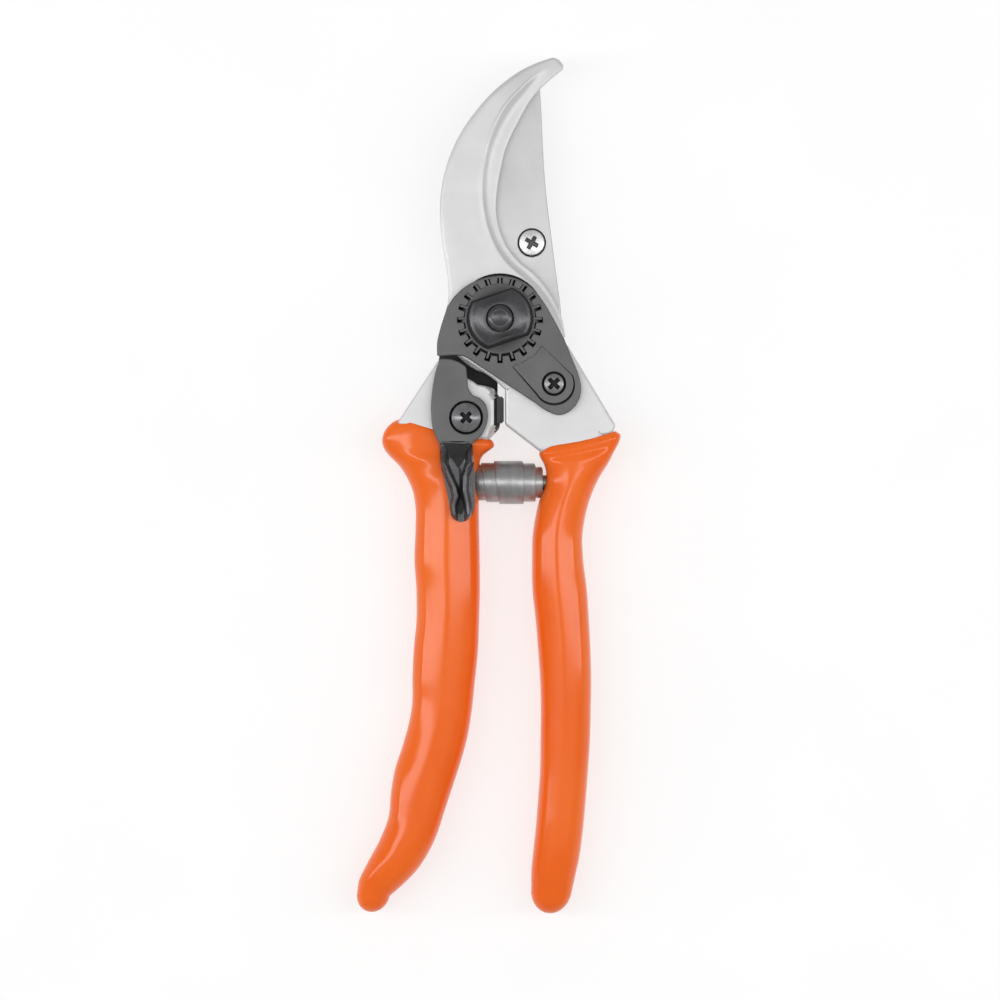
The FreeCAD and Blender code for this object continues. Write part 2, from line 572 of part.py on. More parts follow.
def grip_body(label, rows, mouth, side):
    """Dipped grip as a loft through rounded sections, its mouth trimmed to a shallow vee.

    rows holds (y, left x, right x, thickness)."""
    body = new_body(label)
    middle = size("grip_middle")
    sketches = []
    for number, (y, left, right, thick) in enumerate(rows):
        sketch = new_sketch(body, "Section%02d" % number, "XZ_Plane")
        sketch.AttachmentOffset = FreeCAD.Placement(FreeCAD.Vector(0, 0, -handle_reach(y)), FreeCAD.Rotation())
        centre, half, high = (left + right) / 2, (right - left) / 2, thick / 2
        points = []
        for step in range(16):
            angle = 2 * math.pi * step / 16
            c, s = math.cos(angle), math.sin(angle)
            px = math.copysign(abs(c) ** 0.76, c)
            pz = math.copysign(abs(s) ** 0.76, s)
            points.append(FreeCAD.Vector(centre + half * px, middle + high * pz, 0))
        curve = Part.BSplineCurve()
        curve.interpolate(points, True)
        sketch.addGeometry(curve, False)
        sketch.Visibility = False
        sketches.append(sketch)
    loft = body.newObject("PartDesign::AdditiveLoft", "Sleeve")
    loft.Profile = sketches[0]
    loft.Sections = sketches[1:]
    body.Tip = loft
    doc.recompute()
    low, high = mouth[0][0], mouth[-1][0]
    runs = polyline(mouth + [(high + 6, -10), (low - 6, -10)])
    pocket_outline(body, "Mouth", "-5", runs, "40")
    stud_bore(body, side)
    return body


def make_grip(label, rows, mouth, forging, side):
    """Grip with the forging's arm and tang cut out of it."""
    solid = grip_body(label + "_solid", rows, mouth, side)
    grip = doc.addObject("Part::Cut", label)
    grip.Base = solid
    grip.Tool = forging
    grip.Label = label
    doc.recompute()
    return grip


def left_grip_rows():
    thick, mouth = size("grip_thickness"), size("grip_mouth_thickness")
    return [(-22, -27.2, 0.6, mouth), (-26.2, -29, 0.2, mouth), (-30.2, -29.8, -1.5, mouth),
            (-34.2, -27.2, -4.8, mouth + 0.6), (-38.2, -24.2, -5.2, thick - 0.6), (-45.2, -21.4, -5.25, thick),
            (-52.8, -21.2, -5.2, thick), (-60.2, -21.5, -5, thick), (-71.5, -21, -5, thick),
            (-82.8, -21.8, -5.5, thick), (-97.8, -22, -7.2, thick), (-105.2, -23.9, -8.6, thick),
            (-112.8, -26.3, -10.7, thick), (-120.2, -27.5, -13, thick), (-127.8, -29.1, -15.4, thick - 0.4),
            (-135.2, -32.6, -19.6, thick - 1.4), (-142.8, -36, -25.4, thick - 4), (-147, -35.2, -29.4, 6.4),
            (-149, -33.6, -31.4, 2)]


def right_grip_rows():
    thick, mouth = size("grip_thickness"), size("grip_mouth_thickness")
    return [(-22, 6.5, 28, mouth + 1), (-27.2, 8, 30.1, mouth + 1.3), (-30.4, 8.8, 30, thick - 0.5),
            (-34.2, 10, 28, thick - 0.2), (-38.2, 11.5, 25.4, thick), (-41.5, 11.4, 23.9, thick),
            (-45.2, 9.5, 22.6, thick), (-52.8, 8.2, 20.8, thick), (-60.2, 7.9, 21, thick), (-71.5, 8.3, 22, thick),
            (-86.5, 9.8, 22.8, thick), (-97.8, 10.2, 23, thick), (-109, 10.2, 22.5, thick),
            (-120.2, 9.5, 21.6, thick), (-131.5, 8.3, 20.4, thick - 0.4), (-139, 7.7, 19, thick - 1.4),
            (-144.4, 7.9, 17.6, thick - 4), (-147.6, 9.2, 15.8, 6.4), (-149, 11, 13.4, 2)]


def make_spring():
    """Double volute spring: a tapered steel strip rolled up about the X axis."""
    pitch, strip = size("spring_pitch"), size("spring_strip")
    outer, turns = size("spring_radius"), int(size("spring_turns"))
    steps = 24
    rim = []
    for step in range(turns * steps + 1):
        angle = 2 * math.pi * step / steps
        rim.append((angle, outer - pitch * step / steps))
    far = [FreeCAD.Vector(0, r * math.cos(a), r * math.sin(a)) for a, r in rim]
    near = [FreeCAD.Vector(0, (r - strip) * math.cos(a), (r - strip) * math.sin(a)) for a, r in rim]
    wires = []
    for points in (far, near):
        curve = Part.BSplineCurve()
        curve.interpolate(points)
        wires.append(curve.toShape())
    ends = [Part.makeLine(far[i], near[i]) for i in (0, -1)]
    face = Part.Face(Part.Wire(Part.__sortEdges__([wires[0], ends[1], wires[1], ends[0]])))
    left, right = size("spring_left"), size("spring_right")
    roll = face.extrude(FreeCAD.Vector(right - left, 0, 0))
    roll.translate(FreeCAD.Vector(left, 0, 0))
    middle = (left + right) / 2 - 0.9
    shape = [(left, 0), (left, outer - pitch), (middle - 2.4, outer + 0.02), (middle + 2.4, outer + 0.02),
             (right - 1.9, outer - pitch), (right - 1.9, outer - 2 * pitch), (right, outer - 2.4 * pitch), (right, 0)]
    profile = Part.Face(Part.makePolygon([FreeCAD.Vector(x, r, 0) for x, r in shape + shape[:1]]))
    cones = profile.revolve(FreeCAD.Vector(0, 0, 0), FreeCAD.Vector(1, 0, 0), 360)
    spring = doc.addObject("Part::Feature", "volute_spring")
    spring.Label = "volute_spring"
    spring.Shape = roll.common(cones)
    spring.Placement = FreeCAD.Placement(FreeCAD.Vector(0, size("spring_y"), size("grip_middle")), FreeCAD.Rotation())
    return spring


def make_stud(label, side):
    """Peg that holds one end of the spring, let into the forging."""
    body = new_body(label)
    sketch = new_sketch(body, "PegCircle", "YZ_Plane", "Sizes.spring_%s" % side)
    draw_circle(sketch, "Sizes.spring_y", "Sizes.grip_middle", "Sizes.stud_radius")
    extrude(body, "Pad", sketch, "Inner", "Sizes.stud_depth", upwards=(side == "right"))
    sketch = new_sketch(body, "TipCircle", "YZ_Plane", "Sizes.spring_%s" % side)
    draw_circle(sketch, "Sizes.spring_y", "Sizes.grip_middle", "Sizes.stud_radius")
    extrude(body, "Pad", sketch, "Tip", "Sizes.stud_reach", upwards=(side == "left"))
    return body


def make_all():
    hook = make_hook_forging()
    left = make_left_forging()
    nodes = [hook, left, make_blade(), make_lock_plate(), make_lock_segment(), make_nut(), make_bolt(),
             make_catch(), make_stop_cushion(), make_spring()]
    nodes.append(make_grip("right_grip", right_grip_rows(), [(3, -30.6), (14, -33.2), (34, -26.8)], hook,
                           "right"))
    nodes.append(make_grip("left_grip", left_grip_rows(), [(-33, -23), (-11, -30.2), (3, -30)], left,
                           "left"))
    nodes.append(make_ring("pivot_bush", "Sizes.bush_bore", "Sizes.bush_radius", "Sizes.arm_bottom",
                           "Sizes.blade_top - Sizes.arm_bottom"))
    nodes.append(make_ring("thrust_washer", "Sizes.bush_bore", "Sizes.bolt_head_radius - 0.8",
                           "Sizes.bolt_head_height", "Sizes.thrust_washer_height"))
    nodes.append(make_ring("catch_washer", "Sizes.catch_screw_shank", "Sizes.catch_screw_head - 0.4",
                           "Sizes.left_front", "Sizes.catch_washer_height - Sizes.running_gap",
                           "Sizes.catch_x", "Sizes.catch_y"))
    nodes.append(make_screw("blade_screw", ("blade_screw_x", "blade_screw_y"), "Sizes.blade_screw_head",
                            "Sizes.blade_screw_shank", "Sizes.blade_top - 0.8", "1.5", "Sizes.arm_bottom"))
    nodes.append(make_screw("segment_screw", ("segment_screw_x", "segment_screw_y"), "Sizes.segment_screw_head",
                            "Sizes.segment_screw_shank", "Sizes.plate_top - 0.9", "1.5",
                            "Sizes.hook_top - 6"))
    nodes.append(make_screw("catch_screw", ("catch_x", "catch_y"), "Sizes.catch_screw_head",
                            "Sizes.catch_screw_shank", "Sizes.catch_top + Sizes.running_gap", "2.2",
                            "Sizes.left_front - 6"))
    nodes.append(make_stud("left_spring_peg", "left"))
    nodes.append(make_stud("right_spring_peg", "right"))
    return nodes


def check_and_export(nodes):
    """Stop on any broken feature, then write one STEP file per piece."""
    doc.recompute()
    broken = [item.FullName for item in doc.Objects if {"Invalid", "Error"} & set(item.State)]
    if broken:
        raise RuntimeError("broken features: %s" % broken)
    os.makedirs("parts", exist_ok=True)
    bad = [node.Label for node in nodes if not node.Shape.isValid() or len(node.Shape.Solids) != 1]
    if bad:
        raise RuntimeError("bad shapes: %s" % bad)
    for node in nodes:
        node.Shape.exportStep(os.path.join("parts", node.Label + ".step"))


check_and_export(make_all())
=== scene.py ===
"""Bypass pruning shears: looks of every piece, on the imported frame."""
import math

import bpy
import numpy as np
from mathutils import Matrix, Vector
from mathutils.geometry import delaunay_2d_cdt


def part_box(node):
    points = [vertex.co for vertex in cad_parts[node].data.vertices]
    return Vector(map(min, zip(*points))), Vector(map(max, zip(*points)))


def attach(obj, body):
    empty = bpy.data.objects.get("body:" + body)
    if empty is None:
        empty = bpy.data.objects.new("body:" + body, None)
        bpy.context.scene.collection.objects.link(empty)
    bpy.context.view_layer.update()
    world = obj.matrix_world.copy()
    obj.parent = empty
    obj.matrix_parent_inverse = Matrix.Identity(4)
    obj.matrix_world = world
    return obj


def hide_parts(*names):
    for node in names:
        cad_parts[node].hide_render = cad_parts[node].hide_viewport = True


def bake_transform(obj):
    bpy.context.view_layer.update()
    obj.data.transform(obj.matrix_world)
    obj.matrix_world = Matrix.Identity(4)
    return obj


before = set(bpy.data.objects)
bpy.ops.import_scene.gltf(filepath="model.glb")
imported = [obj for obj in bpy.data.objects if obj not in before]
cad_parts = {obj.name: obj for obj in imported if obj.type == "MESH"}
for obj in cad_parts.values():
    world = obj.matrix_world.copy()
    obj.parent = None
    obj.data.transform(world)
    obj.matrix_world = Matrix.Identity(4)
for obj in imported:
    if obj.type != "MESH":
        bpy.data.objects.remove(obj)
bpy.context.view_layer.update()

MM = 0.001
FACE_RING = 0.12    # flat ring kept inside a rounded rim, in mm
EYE_SWING = 17.0    # radius about the pivot kept free for the other handle's eye, in mm


# ---------------------------------------------------------------- sizes read from the frame

def low(node, axis):
    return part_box(node)[0][axis] / MM


def high(node, axis):
    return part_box(node)[1][axis] / MM


HOOK_BACK = high("blade", 2) + 0.05
HOOK_FRONT = low("lock_plate", 2)
PLATE_FRONT = high("lock_plate", 2)
ARM_BACK = low("blade_forging", 2)
LEFT_FRONT = high("blade_forging", 2)
BLADE_BACK = low("blade", 2)
BLADE_FRONT = high("blade", 2)
CATCH_BACK = low("catch_lever", 2)
GRIP_BACK = low("right_grip", 2)
GRIP_FRONT = high("right_grip", 2)
GRIP_MIDDLE = (GRIP_BACK + GRIP_FRONT) / 2
TAB_BACK = GRIP_FRONT + 0.3


def centre(node):
    """Middle of a node's box seen from the front, in mm."""
    (x0, y0, _), (x1, y1, _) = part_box(node)
    return np.array([(x0 + x1) / 2, (y0 + y1) / 2]) / MM


# ---------------------------------------------------------------- curves and surfaces

def curve(points, count):
    """Smooth curve through key points: cubic Hermite pieces whose tangents are the chord-weighted
    means of the neighbouring slopes, sampled evenly in the parameter of summed chord lengths."""
    keys = np.asarray(points, float)
    knots = np.concatenate([[0], np.cumsum(np.linalg.norm(np.diff(keys, axis=0), axis=1))])
    slopes = np.diff(keys, axis=0) / np.diff(knots)[:, None]
    gaps = np.diff(knots)
    inner = (slopes[:-1] * gaps[1:, None] + slopes[1:] * gaps[:-1, None]) / (gaps[:-1] + gaps[1:])[:, None]
    tangents = np.vstack([slopes[:1], inner, slopes[-1:]])
    where = np.linspace(0, knots[-1], count)
    piece = np.clip(np.searchsorted(knots, where, side="right") - 1, 0, len(gaps) - 1)
    h = gaps[piece][:, None]
    s = ((where - knots[piece]) / gaps[piece])[:, None]
    return ((2 * s**3 - 3 * s**2 + 1) * keys[piece] + (s**3 - 2 * s**2 + s) * h * tangents[piece]
            + (3 * s**2 - 2 * s**3) * keys[piece + 1] + (s**3 - s**2) * h * tangents[piece + 1])


def smoothstep(values, start, end):
    """0 before start, 1 after end, with a cubic ease between."""
    t = np.clip((np.asarray(values, float) - start) / (end - start), 0, 1)
    return t * t * (3 - 2 * t)


def rounded_polygon(corners, steps=6):
    """Closed outline from (x, y, radius) corners: each corner is a circular arc tangent to both its
    edges, sampled evenly in angle."""
    runs = []
    count = len(corners)
    for i in range(count):
        p = np.array(corners[i][:2], float)
        before = np.array(corners[i - 1][:2], float) - p
        after = np.array(corners[(i + 1) % count][:2], float) - p
        u, v = before / np.linalg.norm(before), after / np.linalg.norm(after)
        half = math.acos(max(-1.0, min(1.0, float(u @ v)))) / 2
        bisector = (u + v) / max(np.linalg.norm(u + v), 1e-9)
        radius = corners[i][2]
        middle = p + bisector * radius / max(math.sin(half), 1e-6)
        start = p + u * radius / math.tan(half) - middle
        end = p + v * radius / math.tan(half) - middle
        a0, a1 = math.atan2(start[1], start[0]), math.atan2(end[1], end[0])
        turn = (a1 - a0 + math.pi) % (2 * math.pi) - math.pi
        angles = a0 + turn * np.linspace(0, 1, steps)
        runs.append(middle + radius * np.stack([np.cos(angles), np.sin(angles)], axis=1))
    return np.vstack(runs)


def arc(middle, radius, start, end, count):
    """Points along a circular arc, from and to angles in degrees."""
    angle = np.radians(np.linspace(start, end, count))
    return middle + radius * np.stack([np.cos(angle), np.sin(angle)], axis=1)


def full_turn(count):
    """Evenly spaced angles round a circle, the first not repeated."""
    return np.linspace(0, 2 * math.pi, count, endpoint=False)


def circle(middle, radius, count):
    """Closed outline of even points round a circle."""
    angle = full_turn(count)
    return middle + radius * np.stack([np.cos(angle), np.sin(angle)], axis=1)


def even(outline, spacing):
    """Closed outline resampled to near-even steps along its length, turning anticlockwise."""
    loop = np.vstack([outline, outline[:1]])
    along = np.concatenate([[0], np.cumsum(np.linalg.norm(np.diff(loop, axis=0), axis=1))])
    keep = np.concatenate([[True], np.diff(along) > 1e-6])
    count = max(12, int(along[-1] / spacing))
    where = np.linspace(0, along[-1], count, endpoint=False)
    smooth = np.stack([np.interp(where, along[keep], loop[keep, k]) for k in (0, 1)], axis=1)
    return smooth if area(smooth) > 0 else smooth[::-1]


def area(outline):
    x, y = outline[:, 0], outline[:, 1]
    return 0.5 * float(np.sum(x * np.roll(y, -1) - y * np.roll(x, -1)))


def inward(outline):
    """Unit inward normals of a closed anticlockwise outline, from the averaged edge normals, lengthened
    at corners so that an offset edge stays parallel to its own edge."""
    edge = np.roll(outline, -1, axis=0) - outline
    edge /= np.linalg.norm(edge, axis=1)[:, None] + 1e-12
    normal = np.stack([-edge[:, 1], edge[:, 0]], axis=1)
    joint = normal + np.roll(normal, 1, axis=0)
    joint /= np.linalg.norm(joint, axis=1)[:, None] + 1e-12
    stretch = np.clip(np.sum(joint * normal, axis=1), 0.6, 1)
    return joint / stretch[:, None]


def new_piece(name, mesh, material, body, second=None):
    """Object in metres from a mesh: vertices in mm, faces and, for a second material, a mark on each
    vertex; faces whose vertices are all marked take it. A piece with no body is left unattached."""
    verts, faces, *marks = mesh
    data = bpy.data.meshes.new(name)
    data.from_pydata((verts * MM).tolist(), [], faces)
    data.polygons.foreach_set("use_smooth", np.full(len(data.polygons), True))
    data.update()
    piece = bpy.data.objects.new(name, data)
    bpy.context.scene.collection.objects.link(piece)
    data.materials.append(material)
    if second:
        data.materials.append(second)
        corners = np.empty(len(data.loops), dtype=np.int32)
        data.loops.foreach_get("vertex_index", corners)
        starts = np.empty(len(data.polygons), dtype=np.int32)
        data.polygons.foreach_get("loop_start", starts)
        picked = np.logical_and.reduceat(marks[0][corners], starts)
        data.polygons.foreach_set("material_index", picked.astype(np.int32))
    if body:
        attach(piece, body)
    return piece


def grid_faces(rows, columns, start=0):
    """Quads between the rows of a grid of points whose columns close on themselves."""
    row = start + np.arange(rows - 1)[:, None] * columns
    column = np.arange(columns)[None, :]
    here = row + column
    beside = row + (column + 1) % columns
    quads = np.stack([here, beside, beside + columns, here + columns], axis=-1)
    return quads.reshape(-1, 4)


def tube(rings):
    """Closed skin over a stack of rings, shape (rings, points, 3), with fans over its two ends."""
    rows, columns = rings.shape[:2]
    count = rows * columns
    here = np.arange(columns)
    beside = np.roll(here, -1)
    last = count - columns
    first_fan = np.stack([np.full(columns, count), beside, here], axis=1)
    last_fan = np.stack([np.full(columns, count + 1), last + here, last + beside], axis=1)
    verts = np.vstack([rings.reshape(-1, 3), rings[0].mean(axis=0), rings[-1].mean(axis=0)])
    return verts, grid_faces(rows, columns).tolist() + first_fan.tolist() + last_fan.tolist()


def rim(back, front, back_round=0.3, front_round=0.3, front_drop=None, steps=6):
    """Rows of (inset, height) up the edge of a plate: a flat ring inside the back face, a quarter circle,
    a straight wall, a quarter circle and a flat ring inside the front face. The radii may differ from
    point to point along the outline, and front_drop makes the front one an ellipse of that height."""
    angle = np.linspace(0, math.pi / 2, steps)[:, None]
    back_round, front_round = np.atleast_1d(back_round)[None], np.atleast_1d(front_round)[None]
    drop = front_round if front_drop is None else np.atleast_1d(front_drop)[None]
    lower = np.stack([back_round * (1 - np.sin(angle)), back + back_round * (1 - np.cos(angle))], axis=-1)
    upper = np.stack([front_round * (1 - np.cos(angle)), front - drop * (1 - np.sin(angle))], axis=-1)
    flat_low = np.stack([back_round + FACE_RING, np.full_like(back_round, back, float)], axis=-1)
    flat_high = np.stack([front_round + FACE_RING, np.full_like(front_round, front, float)], axis=-1)
    rows = [flat_low, lower, upper, flat_high]
    wide = max(r.shape[1] for r in rows)
    return np.concatenate([np.broadcast_to(r, (r.shape[0], wide, 2)) for r in rows])


def plate_mesh(outline, holes, profile, hole_round=0.12):
    """Flat plate: its outline is carried up the rim's rows, set in by each row's inset, every hole is
    carried the same way outwards, and both faces are triangulated between the innermost rings."""
    verts, faces, caps = [], [], {"low": [], "high": []}
    back, front = profile[0, :, 1].mean(), profile[-1, :, 1].mean()
    start = 0
    for index, loop in enumerate([outline] + list(holes)):
        is_hole = index > 0
        rows = rim(back, front, hole_round, hole_round, steps=3) if is_hole else profile
        into = inward(loop) * (-1 if is_hole else 1)
        spots = loop[None] + into[None] * rows[:, :, :1]
        heights = np.broadcast_to(rows[:, :, 1:], (len(rows), len(loop), 1))
        rings = np.concatenate([spots, heights], axis=2)
        quads = grid_faces(len(rows), len(loop), start)
        faces += (quads[:, ::-1] if is_hole else quads).tolist()
        verts.append(rings.reshape(-1, 3))
        caps["low"].append(np.arange(len(loop)) + start)
        caps["high"].append(np.arange(len(loop)) + start + (len(rows) - 1) * len(loop))
        start += rings.shape[0] * rings.shape[1]
    verts = np.vstack(verts)
    for side, loops in caps.items():
        faces += cap_faces(verts, loops, side == "high")
    return verts, faces


def inside(spots, loop):
    """Whether each spot lies in the closed loop: the crossings of its edges with a ray along +X are odd."""
    a, b = loop[None, :, :2], np.roll(loop, -1, axis=0)[None, :, :2]
    x, y = spots[:, None, 0], spots[:, None, 1]
    spans = (a[:, :, 1] > y) != (b[:, :, 1] > y)
    rise = np.where(spans, b[:, :, 1] - a[:, :, 1], 1)
    at = a[:, :, 0] + (y - a[:, :, 1]) / rise * (b[:, :, 0] - a[:, :, 0])
    return (spans & (at > x)).sum(axis=1) % 2 == 1


def cap_faces(verts, loops, upwards):
    """Constrained Delaunay triangles between an outer ring and the rings of its holes."""
    ids = np.concatenate(loops)
    edges, first = [], 0
    for loop in loops:
        count = len(loop)
        edges += [(first + k, first + (k + 1) % count) for k in range(count)]
        first += count
    flat = [Vector(v[:2]) for v in verts[ids].tolist()]
    _, _, tris, source, _, _ = delaunay_2d_cdt(flat, edges, [], 1, 1e-7)
    first_of = np.array([s[0] if s else -1 for s in source])
    tris = first_of[np.array([t for t in tris if len(t) == 3])]
    corners = ids[tris[(tris >= 0).all(axis=1)]]
    for loop in loops[1:]:
        corners = corners[~inside(verts[corners].mean(axis=1), verts[loop])]
    p = verts[corners]
    turn = np.cross(p[:, 1] - p[:, 0], p[:, 2] - p[:, 0])[:, 2]
    wrong = (turn > 0) != upwards
    corners[wrong] = corners[wrong][:, ::-1]
    return corners.tolist()


def turned(rows, angle):
    """Rings of points about the pivot from rows of (radius, height), the radius one or one per angle."""
    return np.array([np.stack([r * np.cos(angle), r * np.sin(angle), np.full_like(angle, z)], axis=-1)
                     for r, z in rows])


def lathe(rows, sides=96):
    """Closed solid turned about the pivot: (radius, height) points carried round a full circle."""
    return tube(turned(rows, full_turn(sides)))


def closed_ring(rows, angle):
    """Ring-shaped solid from rows of (radius, height), the last row joined to the first."""
    rings = turned(rows, angle)
    verts = rings.reshape(-1, 3)
    faces = grid_faces(len(rings) + 1, len(angle)) % len(verts)
    return verts, faces.tolist()


# ---------------------------------------------------------------- materials

def linear(code):
    """sRGB hex colour as linear values with full opacity."""
    parts = np.array([int(code[i:i + 2], 16) for i in (1, 3, 5)]) / 255
    light = np.where(parts <= 0.04045, parts / 12.92, ((parts + 0.055) / 1.055) ** 2.4)
    return (*light.tolist(), 1.0)


def add_node(tree, kind, settings=None, inputs=None, links=None):
    """Adds a shader node with its settings, its socket values and its links from (node, output)."""
    node = tree.nodes.new(kind)
    for name, value in (settings or {}).items():
        setattr(node, name, value)
    for name, value in (inputs or {}).items():
        node.inputs[name].default_value = value
    for name, (source, output) in (links or {}).items():
        tree.links.new(source.outputs[output], node.inputs[name])
    return node


def surface(name, steady, tones, cloud, fine, rough, relief):
    """Material whose colour drifts between two tones in broad clouds, and whose roughness and relief
    follow a finer grain. cloud and fine are (size in mm, stretch); relief is the grain's height in mm."""
    material = bpy.data.materials.new(name)
    material.use_nodes = True
    tree = material.node_tree
    tree.nodes.clear()
    coords = add_node(tree, "ShaderNodeTexCoord")
    noises = []
    for size, stretch in (cloud, fine):
        mapping = add_node(tree, "ShaderNodeMapping", inputs={"Scale": stretch},
                           links={"Vector": (coords, "Object")})
        noises.append(add_node(tree, "ShaderNodeTexNoise",
                               inputs={"Scale": 1 / (size * MM), "Detail": 3.0, "Roughness": 0.55},
                               links={"Vector": (mapping, "Vector")}))
    drift = add_node(tree, "ShaderNodeMapRange", inputs={"From Min": 0.3, "From Max": 0.7},
                     links={"Value": (noises[0], "Fac")})
    tone = add_node(tree, "ShaderNodeMix", {"data_type": "RGBA"},
                    {6: linear(tones[0]), 7: linear(tones[1])}, {0: (drift, "Result")})
    gloss = add_node(tree, "ShaderNodeMapRange",
                     inputs={"From Min": 0.3, "From Max": 0.7, "To Min": rough[0], "To Max": rough[1]},
                     links={"Value": (noises[1], "Fac")})
    grain = add_node(tree, "ShaderNodeBump", inputs={"Strength": 0.3, "Distance": relief * MM},
                     links={"Height": (noises[1], "Fac")})
    shader = add_node(tree, "ShaderNodeBsdfPrincipled", inputs=steady,
                      links={"Base Color": (tone, 2), "Roughness": (gloss, "Result"),
                             "Normal": (grain, "Normal")})
    add_node(tree, "ShaderNodeOutputMaterial", links={"Surface": (shader, "BSDF")})
    return material


def forged_aluminium():
    """Forged aluminium, fine blasted and clear coated: pale, even, faintly pebbled satin."""
    return surface("forged_aluminium_blasted", {"Metallic": 0.4, "IOR": 1.5, "Coat Weight": 0.08},
                   ("#d0d0d1", "#d8d8d9"), (9.0, (1, 1, 1)), (0.35, (1, 1, 1)), (0.40, 0.50), 0.02)


def blade_steel():
    """High-carbon blade steel, surface ground: grey satin with fine grind lines across its length."""
    return surface("ground_blade_steel", {"Metallic": 0.85},
                   ("#b6b6b7", "#c2c2c3"), (14.0, (1, 1, 1)), (0.25, (0.04, 1, 1)), (0.34, 0.46), 0.006)


def dipped_vinyl():
    """Plasticised PVC dipped hot: smooth, glossy orange with a slow ripple where it drained."""
    return surface("dipped_vinyl_orange",
                   {"IOR": 1.52, "Specular IOR Level": 0.24, "Subsurface Weight": 0.06,
                    "Subsurface Radius": (1.0, 0.35, 0.1), "Subsurface Scale": 0.0015},
                   ("#f4681d", "#f87226"), (11.0, (1, 0.35, 1)), (9.0, (1, 0.4, 1)), (0.10, 0.15), 0.05)


def lock_coating():
    """Stamped steel under a satin grey baked coat: even mid grey with a soft sheen."""
    return surface("baked_grey_coat", {"Metallic": 0.3, "IOR": 1.5},
                   ("#5c5c5d", "#656566"), (7.0, (1, 1, 1)), (0.30, (1, 1, 1)), (0.42, 0.52), 0.01)


def slot_shade_black():
    """Near-black, glossy steel laid under the nut's teeth as painted shade at the bottoms of the plate's
    slots.
    """
    return surface("painted_slot_shade_black", {"Metallic": 0.85},
                   ("#2c2c2e", "#3a3a3c"), (2.5, (1, 1, 1)), (0.5, (1, 1, 1)), (0.24, 0.34), 0.004)


def dark_coat_and_shade():
    """Darker, glossier grey coat for the thumb tab, the nut boss and the bolt; on the blade screw it paints
    the shade in the cross recess and round the foot.
    """
    return surface("dark_grey_coat_and_shade", {"Metallic": 0.6, "IOR": 1.5},
                   ("#48484a", "#565658"), (3.0, (1, 1, 1)), (0.5, (1, 1, 1)), (0.24, 0.34), 0.006)


def zinc_steel():
    """Zinc plated screw steel: bright, slightly clouded silver."""
    return surface("zinc_plated_steel", {"Metallic": 0.7},
                   ("#d0d0d0", "#e0e0e0"), (1.5, (1, 1, 1)), (0.6, (1, 1, 1)), (0.24, 0.36), 0.004)


def spring_steel():
    """Cold-rolled spring strip: bright steel with rolling lines round each turn."""
    return surface("rolled_spring_steel", {"Metallic": 0.75},
                   ("#949495", "#b0b0b1"), (2.0, (1, 0.2, 0.2)), (0.35, (1, 0.06, 0.06)), (0.30, 0.40),
                   0.002)


def bush_brass():
    """Turned brass bush: warm yellow with faint turning marks."""
    return surface("turned_brass", {"Metallic": 1.0},
                   ("#b08d45", "#c7a35a"), (2.0, (1, 1, 1)), (0.3, (0.1, 0.1, 1)), (0.25, 0.38), 0.004)


def stop_rubber():
    """Moulded black rubber: soft black with a dull bloom."""
    return surface("moulded_black_rubber", {"IOR": 1.52},
                   ("#1b1b1c", "#29292a"), (4.0, (1, 1, 1)), (1.2, (1, 1, 1)), (0.38, 0.52), 0.01)


def painted_shade_material():
    """Painted shade: flat black with hardly any sheen, laid on recesses, gaps and sides where shade falls.
    """
    return surface("painted_shade_matt_black", {"IOR": 1.5, "Specular IOR Level": 0.3},
                   ("#1f1f20", "#2a2a2b"), (3.0, (1, 1, 1)), (0.6, (1, 1, 1)), (0.50, 0.62), 0.006)


def phosphated_steel():
    """Grey phosphated screw steel: satin mid grey that brightens where it faces the light."""
    return surface("grey_phosphated_steel", {"Metallic": 0.65},
                   ("#78787a", "#8a8a8c"), (1.5, (1, 1, 1)), (0.5, (1, 1, 1)), (0.26, 0.34), 0.004)


FORGED = forged_aluminium()
GROUND = blade_steel()
VINYL = dipped_vinyl()
COATED = lock_coating()
SLOT_SHADE = slot_shade_black()
DARK_COAT_AND_SHADE = dark_coat_and_shade()
ZINC = zinc_steel()
SPRING = spring_steel()
BRASS = bush_brass()
RUBBER = stop_rubber()
PAINTED_SHADE = painted_shade_material()
PHOSPHATE = phosphated_steel()


# ---------------------------------------------------------------- hook and forgings

def hook_keys():
    """Outer edge, ridge and lip edge of the hook on lines across it from the tip to the eye, in mm."""
    return np.array([
        (12.6, 65.2, 13.9, 64.0, 15.5, 62.3), (9.4, 64.1, 11.4, 62.6, 13.0, 60.3),
        (5.6, 62.3, 8.5, 60.6, 10.3, 57.8), (1.75, 59.7, 5.0, 57.4, 7.6, 54.6),
        (-2.75, 55.7, 1.3, 53.1, 4.8, 49.7), (-6.5, 51.3, -1.2, 48.6, 2.9, 45.9),
        (-9.6, 46.8, -2.9, 44.0, 1.35, 42.3), (-12.0, 42.0, -4.0, 39.3, 0.35, 38.2),
        (-13.9, 36.3, -4.5, 34.7, -0.45, 34.0), (-14.8, 31.0, -4.5, 31.0, -0.9, 30.3),
        (-15.0, 26.0, -4.1, 27.2, -0.95, 27.0), (-14.7, 21.5, -3.3, 23.3, -0.4, 23.7),
        (-14.2, 17.5, -2.0, 19.6, 0.7, 20.4), (-13.5, 13.7, -0.2, 16.2, 2.4, 17.2),
        (-13.1, 10.6, 2.3, 13.1, 5.0, 14.2), (-12.9, 8.5, 5.5, 10.4, 8.2, 11.6),
        (-12.85, 6.8, 8.5, 7.6, 11.0, 8.6), (-12.9, 5.2, 11.0, 4.7, 13.0, 5.6),
        (-13.1, 3.6, 13.1, 1.5, 14.6, 2.5), (-13.2, 2.0, 14.7, -1.6, 15.7, -0.7),
        (-13.3, 0.4, 15.9, -4.9, 16.3, -4.2)])


